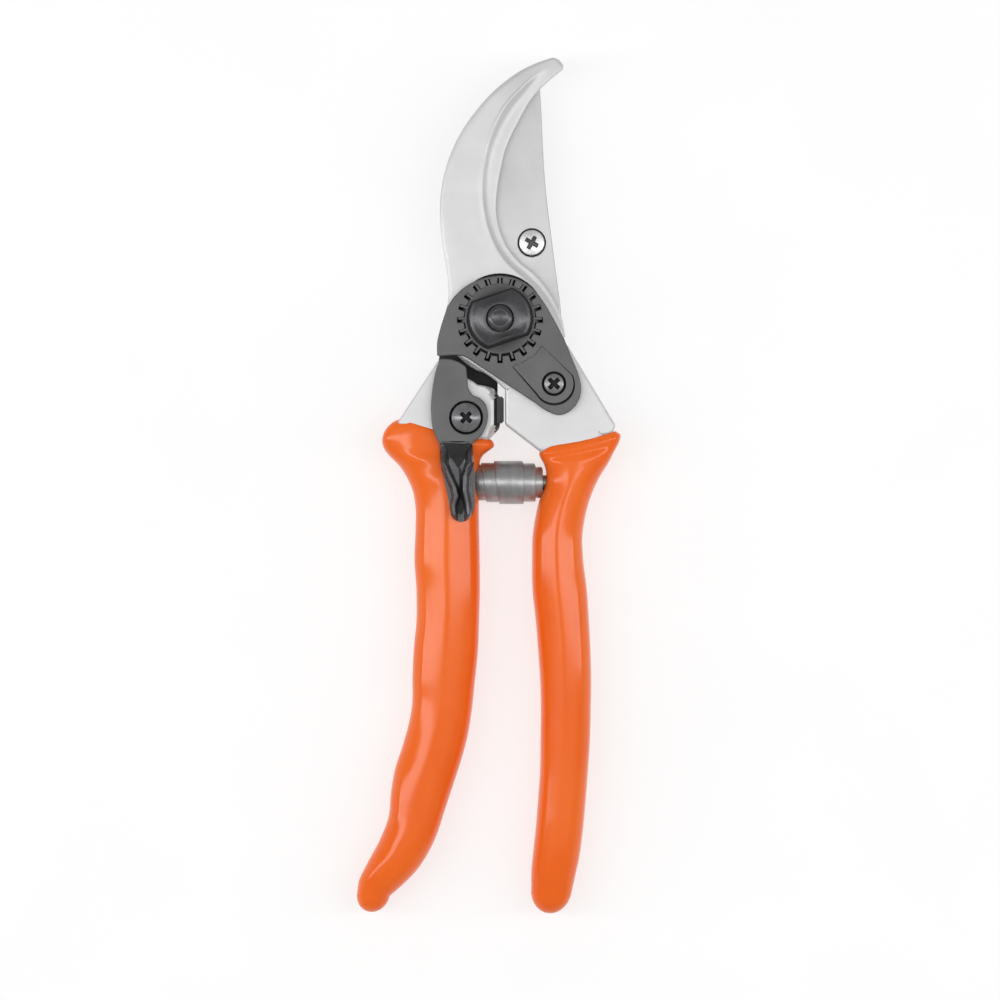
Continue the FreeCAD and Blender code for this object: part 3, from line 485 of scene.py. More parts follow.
def hook_mesh():
    """The hook's cross section carried from its tip to the eye: from the outer edge a wall, a chamfer,
    the wide flat, a raised ridge, a cove down to the lip and the lip's rounded edge."""
    keys = hook_keys()
    lines = curve(keys, 190)
    outer, ridge, inner = lines[:, 0:2], lines[:, 2:4], lines[:, 4:6]
    wide = np.linalg.norm(ridge - outer, axis=1)
    lip = np.linalg.norm(inner - ridge, axis=1)
    to_ridge = (ridge - outer) / wide[:, None]
    to_lip = (inner - ridge) / lip[:, None]
    along = np.concatenate([[0], np.cumsum(np.linalg.norm(np.diff(ridge, axis=0), axis=1))])
    front = HOOK_FRONT - 1.9 * (1 - smoothstep(along, -6, 17))
    drop = smoothstep(along, 2, 15) * 1.60
    bead = smoothstep(along, 4, 14) * (1 - smoothstep(along, 34, 60)) * 0.16
    chamfer = np.minimum(0.85, wide * 0.3)
    back = np.full_like(front, HOOK_BACK)
    columns = []

    def put(base, direction, distance, height):
        spot = base + direction * np.broadcast_to(distance, along.shape)[:, None]
        columns.append(np.column_stack([spot, height]))

    put(outer, to_ridge, 0.25, back)
    put(outer, to_ridge, 0.0, back + 0.3)
    put(outer, to_ridge, 0.0, front - 0.45)
    put(outer, to_ridge, chamfer * 0.1, front - 0.22)
    put(outer, to_ridge, chamfer * 0.3, front - 0.14)
    put(outer, to_ridge, chamfer * 0.95, front - 0.03)
    put(outer, to_ridge, chamfer * 1.15, front)
    for share in (0.3, 0.5, 0.7, 0.85):
        put(outer, to_ridge, np.maximum(wide * share, chamfer * 1.3), front)
    put(outer, to_ridge, wide - np.minimum(0.75, wide * 0.1), front)
    put(outer, to_ridge, wide - np.minimum(0.3, wide * 0.05), front + bead * 0.8)
    put(outer, to_ridge, wide, front + bead)
    cove = [(0.05, 0.03), (0.12, 0.22), (0.19, 0.50), (0.27, 0.72), (0.37, 0.88), (0.5, 0.97), (0.64, 1.0),
            (0.78, 0.99)]
    for share, fall in cove:
        put(ridge, to_lip, lip * share, front + bead * (1 - min(1, share * 6)) - drop * fall)
    put(ridge, to_lip, lip - np.minimum(0.28, lip * 0.15), front - drop)
    put(ridge, to_lip, lip - np.minimum(0.08, lip * 0.05), front - drop - 0.08)
    put(ridge, to_lip, lip, front - drop - 0.28)
    put(ridge, to_lip, lip, back + 0.2)
    put(ridge, to_lip, lip - np.minimum(0.2, lip * 0.1), back)
    put(ridge, to_lip, 0.0, back)
    put(outer, to_ridge, wide * 0.5, back)
    rings = np.stack(columns, axis=1)
    heading = rings[0].mean(axis=0) - rings[6].mean(axis=0)
    heading[2] = 0
    heading /= np.linalg.norm(heading)
    angle = np.linspace(math.pi / 2, 0, 7)[1:-1]
    core = rings[0].mean(axis=0)
    sizes = np.cos(angle)[:, None, None]
    cap = core + (rings[0] - core)[None] * sizes + heading * 1.25 * np.sin(angle)[:, None, None]
    return tube(np.concatenate([cap, rings]))


def swing_arc(start, end, count):
    """Corners along the circle about the pivot that the other handle's eye turns inside, each rounded
    to 4 mm."""
    return [(x, y, 4.0) for x, y in arc(0, EYE_SWING, start, end, count)]


def build_hook():
    """Hook, its eye about the pivot, the arm down to the grip and the tang inside the grip."""
    hook = new_piece("hook_blade", hook_mesh(), FORGED, "hook_handle")
    left = [(-13.2, 3.0), (-13.7, -0.5), (-13.1, -5.0), (-11.4, -8.4), (-8.3, -10.7), (-4.5, -13.1),
            (-1.5, -15.1), (1.2, -17.6)]
    right = [(1.2, -17.6), (6, -21), (14, -18), (16.2, -10), (16.1, -4.8), (13, -1), (4, 2), (-13.2, 3.0)]
    outline = even(np.vstack([curve(left, 60), curve(right, 60)[1:-1]]), 0.4)
    mesh = plate_mesh(outline, [], rim(HOOK_BACK, HOOK_FRONT - 0.03, 0.25, 0.6))
    eye = new_piece("hook_eye", mesh, FORGED, "hook_handle")
    corners = [(1.25, -17.2, 0.3), (1.25, -26.4, 1.4), (10.6, -33.6, 1.5), (14.5, -37, 1), (22.0, -36, 1),
               (27.6, -30, 1), (28.9, -26.6, 1.2), (16.35, -5.6, 0.8)] + swing_arc(-17.5, -84, 6)[1:]
    outline = even(rounded_polygon(corners, 8), 0.35)
    in_grip = 1 - smoothstep(outline[:, 1] - 0.26 * outline[:, 0], -37.4, -35.4)
    mesh = plate_mesh(outline, [], rim(ARM_BACK, HOOK_FRONT, 1.0, 0.7 + 2.6 * in_grip))
    arm = new_piece("right_arm", mesh, FORGED, "hook_handle")
    middle = curve([(18.3, -34), (16, -45), (14.5, -60), (15.6, -75), (16.3, -87), (16.5, -98),
                    (16.4, -109), (15.6, -120), (14.4, -132)], 40)
    tang = new_piece("right_tang", tang_mesh(middle), FORGED, "hook_handle")
    for piece in (eye, arm, tang):
        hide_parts("hook_forging")
    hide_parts("hook_forging")


def tang_mesh(middle):
    """Flat bar along a handle's middle line, inside its grip."""
    side = np.array([3.5, 0.0])
    outline = even(np.vstack([middle - side, (middle + side)[::-1]]), 1.0)
    return plate_mesh(outline, [], rim(GRIP_MIDDLE - 3, GRIP_MIDDLE + 3))


def build_left_forging():
    """Arm whose stop side is painted black as shade, the blade's seat behind the blade with its front face
    painted black as shade, and the tang inside the grip.
    """
    corners = [(-5.8, -16.35, 0.5), (-1.6, -17.2, 1.2), (0, -19.6, 2.0), (0, -27.2, 2.4),
               (-3.6, -31.0, 1.6), (-8.5, -35, 1), (-19, -34, 1), (-25.0, -27.8, 1), (-25.5, -25.7, 0.8),
               (-15.3, -10.1, 0.5)]
    outline = even(rounded_polygon(corners + swing_arc(-141, -112, 4), 8), 0.35)
    near_stop = smoothstep(outline[:, 0], -4, -0.8) * smoothstep(outline[:, 1], -34, -30)
    in_grip = 1 - smoothstep(outline[:, 1] + 0.18 * outline[:, 0], -31.9, -30.5)
    inset = 0.5 + 1.7 * near_stop * (1 - in_grip) + 2.6 * in_grip
    drop = 0.5 + 5.5 * near_stop * (1 - in_grip) + 2.6 * in_grip
    verts, faces = plate_mesh(outline, [], rim(ARM_BACK, LEFT_FRONT, 1.0, inset, drop))
    x, y, z = verts.T
    stop_middle, stop_half = -24.4, 7.0
    # The faces down the stop side take painted shade: black where the side falls into shadow beside the
    # other handle.
    side = (x > -1.6) & (np.abs(y - stop_middle) < stop_half) & (z > ARM_BACK + 1.2)
    arm = new_piece("left_arm", (verts, faces, side), FORGED, "blade_handle", PAINTED_SHADE)
    screw_place = np.array([7.95, 19.2])
    lobe = arc(screw_place, 4.5, -12, 150, 9)
    left = [(-6.2, 14.0), (-10.5, 8.6), (-13.2, 2.5), (-14.2, -4.0), (-15.3, -9.6), (-16.4, -15.5),
            (-17.0, -20.0)]
    lower = [(-10, -21), (-1.2, -20.5), (0.2, -13.6), (4.8, -12.3), (9.3, -9.4), (12.3, -4.8), (13.2, 0.2),
             (12.7, 8.0)]
    outline = even(curve(np.vstack([lobe, left, lower, lobe[:1]]), 260)[:-1], 0.4)
    verts, faces = plate_mesh(outline, [], rim(ARM_BACK, BLADE_BACK, 0.8, 0.2))
    # The seat's front face, seen only through the gaps round the blade's eye, takes painted shade.
    painted_shade_face = verts[:, 2] > BLADE_BACK - 0.25
    seat = new_piece("blade_seat", (verts, faces, painted_shade_face), FORGED, "blade_handle",
                     PAINTED_SHADE)
    middle = curve([(-14.4, -34), (-13.3, -45), (-13.2, -60), (-13.1, -75), (-14, -87), (-15.2, -98),
                    (-17.4, -108), (-19.9, -118), (-22.1, -127)], 40)
    tang = new_piece("left_tang", tang_mesh(middle), FORGED, "blade_handle")
    for piece in (arm, seat, tang):
        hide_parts("blade_forging")


# ---------------------------------------------------------------- grips

def grip_mesh(keys, heading, cap_length, bow=0.0, lip=0.9):
    """Dipped sleeve: superellipse sections between matching points of its two edges, nearly square at
    the mouth, the open end rolled in with a quarter circle and bowed, and the closed end drawn in as
    half an ellipsoid.

    keys holds (left x, left y, right x, right y, back z, front z)."""
    lines = curve(keys, 150)
    left, right = lines[:, 0:2], lines[:, 2:4]
    middle = (left + right) / 2
    across = (right - left) / 2
    angle = full_turn(72)
    along = np.concatenate([[0], np.cumsum(np.linalg.norm(np.diff(middle, axis=0), axis=1))])
    power = (0.36 + 0.52 * smoothstep(along, 1.5, 13))[:, None]
    c = np.sign(np.cos(angle)) * np.abs(np.cos(angle)) ** power
    s = np.sign(np.sin(angle)) * np.abs(np.sin(angle)) ** power
    level = (lines[:, 4] + lines[:, 5]) / 2
    tall = (lines[:, 5] - lines[:, 4]) / 2
    plan = middle[:, None, :] + across[:, None, :] * c[:, :, None]
    plan[:, :, 1] -= bow * (1 - c**2) * (1 - smoothstep(along, 1, 8))[:, None]
    height = level[:, None] + tall[:, None] * s
    rings = np.dstack([plan, height])
    down = np.array([heading[0], heading[1], 0.0])
    down /= np.linalg.norm(down)
    turn = np.linspace(0, math.pi / 2, 8)[1:]
    core = rings[-1].mean(axis=0)
    cap = core + (rings[-1] - core)[None] * np.cos(turn * 0.995)[:, None, None] \
        + down * cap_length * np.sin(turn)[:, None, None]
    mouth = rings[0]
    core = mouth.mean(axis=0)
    half = np.array([np.ptp(mouth[:, 0]) / 2, np.ptp(mouth[:, 1]) / 2 + 1e-6, np.ptp(mouth[:, 2]) / 2])
    roll = np.linspace(math.pi / 2, 0, 6)[:-1]
    inset = lip * (1 - np.cos(roll))
    shrink = 1 - inset[:, None, None] / np.maximum(half, lip * 1.5)[None, None, :]
    up = np.array([0.0, 1.0, 0.0])
    lips = core + (mouth - core)[None] * shrink + up * (lip * np.sin(roll) * 0.8)[:, None, None]
    floor = (core + (mouth - core) * (1 - 1.6 / np.maximum(half, 3.0)))[None] - up * 2.0
    return tube(np.concatenate([floor, lips, rings, cap]))


def build_grips():
    """Left and right sleeves: points of their two edges from the mouth to the closed end, with the back
    and front levels of the body, z0 and z1, and of the thinner mouth, m0 and m1."""
    z0, z1 = GRIP_BACK + 0.1, GRIP_FRONT
    m0, m1 = 1.0, CATCH_BACK - 0.15
    left = [
        (-25.2, -25.0, -1.5, -31.2), (-26.7, -25.6, -1.4, -31.7), (-28.9, -27.9, -2.2, -32.6),
        (-29.6, -30.4, -3.3, -33.4), (-29.1, -32.4, -4.4, -34.4), (-27.6, -34.4, -5.0, -35.8),
        (-25.4, -36.6, -5.2, -37.6), (-23.4, -39.6, -5.25, -40.4), (-22.0, -42.8, -5.25, -43.2),
        (-21.3, -46.5, -5.25, -46.6), (-21.25, -52.8, -5.2, -52.8), (-21.5, -60.2, -5.05, -60.2),
        (-21.0, -68.0, -5.0, -68.0), (-21.0, -75.2, -5.2, -75.2), (-21.7, -82.8, -5.5, -83.2),
        (-22.0, -90.0, -6.3, -91.0), (-22.1, -96.5, -7.1, -98.6), (-23.0, -101.6, -8.2, -105.0),
        (-24.6, -107.2, -9.9, -111.2), (-26.4, -112.8, -12.0, -117.6), (-27.4, -118.6, -13.9, -123.4),
        (-28.0, -124.6, -15.8, -129.2), (-30.2, -130.4, -18.2, -134.2), (-33.4, -136.4, -21.4, -138.8),
        (-35.4, -140.6, -24.6, -142.0), (-35.85, -143.4, -27.6, -144.6)]
    mouth = [(m0 + 0.4, m1 - 0.1), (m0, m1), (m0, m1), (m0, m1), (m0 - 0.3, m1 + 0.1),
             (m0 - 0.6, m1 + 0.4), (z0, z1 - 0.3)]
    tail = [(z0, z1 - 0.2), (z0 + 0.3, z1 - 0.8), (z0 + 1.0, z1 - 2.0), (z0 + 2.0, z1 - 3.2)]
    depths = mouth + [(z0, z1)] * 15 + tail
    mesh = grip_mesh(np.hstack([left, depths]), (-0.22, -1.0), 4.7, bow=0.9, lip=0.6)
    grip = new_piece("left_sleeve", mesh, VINYL, "blade_handle")
    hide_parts("left_grip")
    right = [
        (10.0, -33.0, 29.2, -28.2), (9.7, -33.6, 30.2, -28.8), (10.0, -34.6, 29.9, -30.6),
        (10.8, -36.0, 28.7, -33.0), (11.4, -37.8, 27.2, -36.0), (11.4, -40.4, 25.2, -39.2),
        (10.6, -43.2, 23.6, -42.4), (9.6, -46.0, 22.4, -45.6), (8.8, -49.6, 21.4, -49.4),
        (8.2, -53.6, 20.75, -53.6), (8.0, -60.2, 20.9, -60.2), (8.1, -67.8, 21.8, -67.6),
        (8.9, -75.4, 22.3, -75.0), (9.5, -82.8, 22.7, -82.4), (10.0, -90.2, 22.9, -90.0),
        (10.2, -97.8, 22.8, -97.8), (10.1, -105.2, 22.6, -105.4), (10.0, -112.8, 22.1, -113.2),
        (9.5, -120.2, 21.5, -120.8), (8.9, -127.6, 20.8, -128.4), (8.2, -134.0, 19.9, -135.0),
        (7.8, -138.6, 18.9, -139.6), (7.8, -142.4, 18.1, -143.2)]
    mouth = [(m0, m1 + 0.5), (m0 - 0.4, m1 + 0.8), (z0, z1 - 0.3)]
    tail = [(z0, z1 - 0.4), (z0 + 0.5, z1 - 1.2), (z0 + 1.4, z1 - 2.4)]
    depths = mouth + [(z0, z1)] * 17 + tail
    mesh = grip_mesh(np.hstack([right, depths]), (-0.12, -1.0), 6.2, bow=0.9)
    grip = new_piece("right_sleeve", mesh, VINYL, "hook_handle")
    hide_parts("right_grip")


# ---------------------------------------------------------------- blade and screws

def build_blade():
    """Blade: its outline carried up a profile whose back inset widens to the ground bevel along the
    cutting edge and narrows to a small rounding along the spine and round the eye."""
    edge = [(-12.6, 6), (-9.4, 11.5), (-6.4, 17.5), (-4.4, 24), (-3.4, 31), (-2.6, 37.5), (-1, 43.5),
            (1.8, 49.5), (5.4, 54.8), (9.7, 59.3)]
    spine = [(9.9, 59.2), (10.3, 53), (10.7, 44), (11.1, 37), (11.75, 29.75), (13, 19.75), (14, 11.75),
             (15.1, 4)]
    eye = [(15.1, 4), (15.3, -1), (13.6, -6.2), (9.6, -10.6), (4, -13.5), (-2.2, -13.9), (-8.3, -11.4),
           (-12.4, -6.6), (-13.9, -0.5), (-12.6, 6)]
    outline = even(np.vstack([curve(spine, 90)[:-1], curve(eye, 120)[:-1], curve(edge, 140)]), 0.35)
    on_edge = (1 - smoothstep(outline[:, 0], 7, 9.6)) * smoothstep(outline[:, 1], 9, 17)
    on_edge *= outline[:, 0] < 9.8 - 0.02 * outline[:, 1]
    room = np.interp(outline[:, 1], [17, 40, 50, 56, 59], [5.0, 5.0, 3.2, 1.2, 0.2])
    width = 0.25 + on_edge * room
    rise = 0.25 + on_edge * 2.1
    share = np.array([1.03, 1.0, 0.5, 0.05, 0.0])[:, None]
    lift = np.array([0.0, 0.0, 0.5, 0.95, 1.0])[:, None]
    top = np.array([[0.0, 0.45], [0.0, 0.30], [0.08, 0.10], [0.28, 0.0], [0.45, 0.0]])
    top_inset = np.broadcast_to(top[:, :1], (len(top), len(outline)))
    top_height = np.broadcast_to(BLADE_FRONT - top[:, 1:], (len(top), len(outline)))
    inset = np.vstack([share * width, top_inset])
    height = np.vstack([BLADE_BACK + lift * rise, top_height])
    hole = circle(centre("blade_screw"), 3.55, 60)
    mesh = plate_mesh(outline, [hole], np.stack([inset, height], axis=-1), 0.12)
    blade = new_piece("cutting_blade", mesh, GROUND, "blade_handle")
    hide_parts("blade")


def screw_mesh(node, radius, foot, seat, dome, shank, turn, reach):
    """Screw of a node's place and depth: shank, flanged foot and rounded head turned about its axis, the
    head's face a shallow dome with a cross recess, which is a smooth pit wherever the point is near
    either arm's middle line and inside its reach. Marks the foot's face and the pit, which take painted
    shade."""
    bottom, crown = low(node, 2), high(node, 2)
    angle = full_turn(168)
    edge_height = crown - dome
    side = [(shank, bottom), (shank, seat - 0.25), (foot, seat - 0.25), (foot, seat), (radius - 0.05, seat),
            (radius, seat + 0.15), (radius, max(seat + 0.2, edge_height - 0.25)),
            (radius - 0.08, edge_height - 0.06)]
    share = np.linspace(1, 0.012, 44)
    r = (radius - 0.2) * share[:, None]
    x, y = r * np.cos(angle), r * np.sin(angle)
    u = np.abs(x * math.cos(turn) + y * math.sin(turn))
    v = np.abs(-x * math.sin(turn) + y * math.cos(turn))
    half, depth = 0.45, 1.5
    reach_u, reach_v = (1 - smoothstep(w, reach - 0.15, reach + 0.05) for w in (u, v))
    near_u, near_v = (1 - smoothstep(w, half - 0.1, half + 0.1) for w in (u, v))
    pit = np.maximum(reach_u * near_v, reach_v * near_u)
    z = crown - dome * share[:, None] ** 2 - depth * pit
    rings = np.concatenate([turned(side, angle), np.stack([x, y, z], axis=-1)])
    rings[:, :, :2] += centre(node)
    in_foot = np.repeat([2 <= row <= 4 for row in range(len(side))], len(angle))
    marked = np.concatenate([in_foot, pit.ravel() > 0.3, [False, True]])
    return *tube(rings), marked


def build_screws():
    """The blade's bright screw and the catch's and segment's dark ones."""
    mesh = screw_mesh("blade_screw", 3.2, 3.5, BLADE_FRONT - 0.8, 0.25, 2.0, 1.05, 1.75)
    # The cross recess and the ring of the foot round the head take the darker coat as painted shade.
    screw = new_piece("blade_fixing_screw", mesh, ZINC, "blade_handle", DARK_COAT_AND_SHADE)
    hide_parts("blade_screw")
    mesh = screw_mesh("catch_screw", 3.65, 4.12, CATCH_BACK + 0.6, 1.5, 2.0, 0.85, 1.7)
    # The cross recess and the ring of the foot round the head are painted black as shade.
    screw = new_piece("catch_pivot_screw", mesh, PHOSPHATE, "blade_handle", PAINTED_SHADE)
    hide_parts("catch_screw")
    seat = high("segment_screw", 2) - 1.5
    mesh = screw_mesh("segment_screw", 2.5, 2.95, seat, 0.35, 1.5, 0.8, 1.7)
    # The cross recess and the ring of the foot round the head are painted black as shade.
    screw = new_piece("segment_fixing_screw", mesh, PHOSPHATE, "hook_handle", PAINTED_SHADE)
    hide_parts("segment_screw")


# ---------------------------------------------------------------- pivot lock

def gear_outline(inner, outer, width):
    """Round outline with twenty straight-sided teeth, or slots, standing out to the outer radius."""
    teeth, steps = 20, 9
    half_in, half_out = math.asin(width / 2 / inner), math.asin(width / 2 / outer)
    gap = 2 * math.pi / teeth - 2 * half_in
    points = []
    for k in range(teeth):
        middle = 2 * math.pi * k / teeth
        points += [(inner, middle - half_in), (outer, middle - half_out), (outer, middle + half_out),
                   (inner, middle + half_in)]
        points += [(inner, middle + half_in + gap * s / steps) for s in range(1, steps)]
    r, a = np.array(points).T
    return np.stack([r * np.cos(a), r * np.sin(a)], axis=1)


def segment_outline(grow):
    """Teardrop about the segment's screw, grown all round: a round lobe, two straight flanks and an arc
    about the pivot cut with small teeth near its lower end."""
    lobe = arc(centre("segment_screw"), 4.9 + grow, -150, 28, 40)
    degrees = np.linspace(-33 + 3 * grow / 2, -75 - 3 * grow / 2, 160)
    sweep = np.radians(degrees)
    teeth = 0.45 * (0.5 + 0.5 * np.cos(sweep * 60)) * (degrees < -52)
    reach = 12.45 - grow - teeth
    toothed = np.stack([reach * np.cos(sweep), reach * np.sin(sweep)], axis=1)
    return even(np.vstack([lobe, toothed]), 0.16)


def plate_outline():
    """Outline of the lock plate: left side, domed top, lobe round the segment and slanted lower edge."""
    left = [(-15.7, -9.1), (-15.7, -6.1), (-15.0, -2.9), (-14.1, 0.1), (-13.1, 3.0)]
    top = [(-13.1, 3.0), (-11.6, 5.2), (-8.7, 7.9), (-4.6, 9.9), (0, 10.65), (4.3, 9.85), (8.4, 7.25),
           (10.9, 4.1), (13.3, 0), (15.8, -4.7), (17.9, -9.7), (19.7, -14.4), (20.25, -17.3), (19.7, -20.3),
           (17.9, -22.7), (14.9, -24.1), (12, -23.2), (8.4, -20.8), (4.6, -18.3), (0.8, -15.8), (-4, -12.6),
           (-7.6, -10.2), (-8.8, -9.5), (-10.2, -9.25), (-15.2, -9.4)]
    return even(np.vstack([curve(left, 40)[:-1], curve(top, 300)]), 0.3)


def build_lock():
    """Lock plate with its slotted hole and segment opening, toothed segment and toothed nut. The hole and
    the opening sit a little off the nut and the segment. A black sheet under the opening and a near-black
    disc under the nut's teeth paint the shade in the gaps."""
    slots_shift, opening_shift = np.array([0, -0.38]), np.array([0.1, -0.25])
    slots = even(gear_outline(9.0, 10.7, 1.3), 0.16) + slots_shift
    opening = segment_outline(0.2) + opening_shift
    mesh = plate_mesh(plate_outline(), [slots, opening],
                      rim(HOOK_FRONT, PLATE_FRONT, 0.1, 0.35), 0.15)
    plate = new_piece("lock_plate_shell", mesh, COATED, "hook_handle")
    # A black sheet under the segment's opening paints the shade in the gap round the segment.
    mesh = plate_mesh(segment_outline(0.5) + opening_shift, [],
                      rim(HOOK_FRONT - 0.1, HOOK_FRONT + 0.3, 0.05, 0.05))
    pocket = new_piece("segment_pocket", mesh, PAINTED_SHADE, "hook_handle")
    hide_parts("lock_plate")
    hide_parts("lock_plate")
    seat = circle(centre("segment_screw"), 3.0, 48)
    mesh = plate_mesh(segment_outline(0.0), [seat],
                      rim(HOOK_FRONT, PLATE_FRONT - 0.03, 0.1, 0.15), 0.15)
    segment = new_piece("toothed_segment", mesh, COATED, "hook_handle")
    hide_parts("lock_segment")
    teeth = even(gear_outline(8.75, 10.5, 0.5), 0.14)
    mesh = plate_mesh(teeth, [], rim(HOOK_FRONT, PLATE_FRONT - 0.12, 0.05, 0.05))
    flange = new_piece("nut_teeth", mesh, COATED, "hook_handle")
    # A near-black disc under the nut's teeth paints the shade at the bottoms of the plate's slots.
    mesh = lathe([(8.0, HOOK_FRONT), (11.3, HOOK_FRONT), (11.3, HOOK_FRONT + 0.5),
                  (8.0, HOOK_FRONT + 0.5)], 120)
    base = new_piece("nut_flange", mesh, SLOT_SHADE, "hook_handle")
    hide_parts("pivot_nut")
    collar = new_piece("nut_collar", nut_collar_mesh(), COATED, "hook_handle")
    # The boss's wall, the start of its shoulder and its hole take painted shade.
    boss = new_piece("nut_boss", nut_boss_mesh(), DARK_COAT_AND_SHADE, "hook_handle", PAINTED_SHADE)
    for piece in (flange, collar, boss):
        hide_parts("pivot_nut")


def nut_collar_mesh():
    """Flat collar of the nut, level with the plate, with a thin raised bead round its edge."""
    top = PLATE_FRONT
    rows = [(4.5, top - 0.4), (8.62, top - 0.4), (8.62, top - 0.02), (8.52, top + 0.06), (8.38, top + 0.02),
            (8.28, top - 0.06), (4.5, top - 0.06)]
    return closed_ring(rows, full_turn(240))


def nut_boss_mesh():
    """Nut boss: a circle cut by two flats carried up a wall, a quarter-circle shoulder and a dome that
    falls with the square of the distance from the threaded hole. Marks the wall, the start of the
    shoulder and the hole, which take painted shade."""
    angle = full_turn(240)
    body, across_flats, hole = 8.2, 12.5, 3.4
    flat = across_flats / 2 / np.maximum(np.abs(np.sin(angle - math.radians(18.9))), 1e-3)
    reach = np.minimum(body, flat)
    crown = high("pivot_nut", 2)
    foot = PLATE_FRONT - 0.35
    lean = 0.8 * (1 - np.sin(angle)) / 2
    shoulder = 0.75 + lean
    low_edge = crown - 2.2
    rows = [(reach, foot), (reach, low_edge)]
    rows += [(reach - shoulder * (1 - math.cos(s)), low_edge + 1.2 * math.sin(s))
             for s in np.linspace(0.2, math.pi / 2, 7)]
    rows += [(3.6 + (reach - shoulder - 3.6) * share, crown - 1.0 * share**2)
             for share in np.linspace(0.9, 0.0, 9)]
    rows += [(3.55, crown), (3.45, crown - 0.1), (hole, crown - 1.6), (hole, foot)]
    verts, faces = closed_ring(rows, angle)
    number = np.repeat(np.arange(len(rows)), len(angle))
    marked = (number < 7) | (number > len(rows) - 4)
    return verts, faces, marked


def build_bolt():
    """Pivot bolt: rounded flat head, plain shank and threaded end with a worn chamfer and flat."""
    crown = high("pivot_bolt", 2)
    shank = HOOK_FRONT
    step = 0.25
    thread = [(3.0 - 0.32 * (k % 2), shank + 0.3 + step * k)
              for k in range(int((crown - 1.0 - shank) / step))]
    profile = [(0.5, 0.15), (5.6, 0.15), (6.2, 0.0), (7.6, 0.0), (8.0, 0.4), (8.0, 2.1), (7.8, 2.4),
               (4.0, 2.4), (4.0, shank), (3.0, shank)]
    profile += thread
    profile += [(3.1, crown - 0.75), (3.08, crown - 0.5), (2.8, crown - 0.25), (2.2, crown), (1.95, crown),
                (1.8, crown - 0.12), (0.3, crown - 0.12)]
    bolt = new_piece("bolt", lathe(profile), DARK_COAT_AND_SHADE, "hook_handle")
    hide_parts("pivot_bolt")


# ---------------------------------------------------------------- catch

def build_catch():
    """Thumb catch: rounded flat lever and, below it, a tab with a sloping facet and a forked ridge."""
    side = [(-15.1, -10.2), (-16.1, -13.5), (-16.9, -18), (-17.2, -23), (-16.7, -27.5), (-15.2, -31.2)]
    right = [(-7.1, -31.4), (-6.6, -30.9), (-4.7, -29.2), (-3.4, -26.6), (-3.0, -23.8), (-3.6, -21.4),
             (-5.0, -19.9), (-7.0, -18.9), (-7.85, -17.4), (-8.15, -14.8), (-8.4, -12.4)]
    top = [(-8.7, -11.8), (-10.5, -10.7), (-13, -10.05), (-14.9, -10.0)]
    outline = np.vstack([curve(side, 60), curve(right, 90), curve(top, 24)])
    seat = circle(centre("catch_screw"), 4.2, 72)
    mesh = plate_mesh(even(outline, 0.28), [seat], rim(CATCH_BACK, CATCH_BACK + 2.1, 0.2, 0.35))
    lever = new_piece("catch_flat", mesh, COATED, "catch")
    # The tab's vee facet, pocket and groove take painted shade.
    tab = new_piece("thumb_tab", tab_mesh(), DARK_COAT_AND_SHADE, "catch", PAINTED_SHADE)
    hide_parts("catch_lever")
    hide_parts("catch_lever")


def ridge(x, y, path, width):
    """Share of a broad rounded ridge: exp(-d^4) of the distance across a path given as x for each y."""
    keys = np.array(path)
    middle = np.interp(-y, -keys[:, 1], keys[:, 0])
    return np.exp(-((x - middle) / width) ** 4)


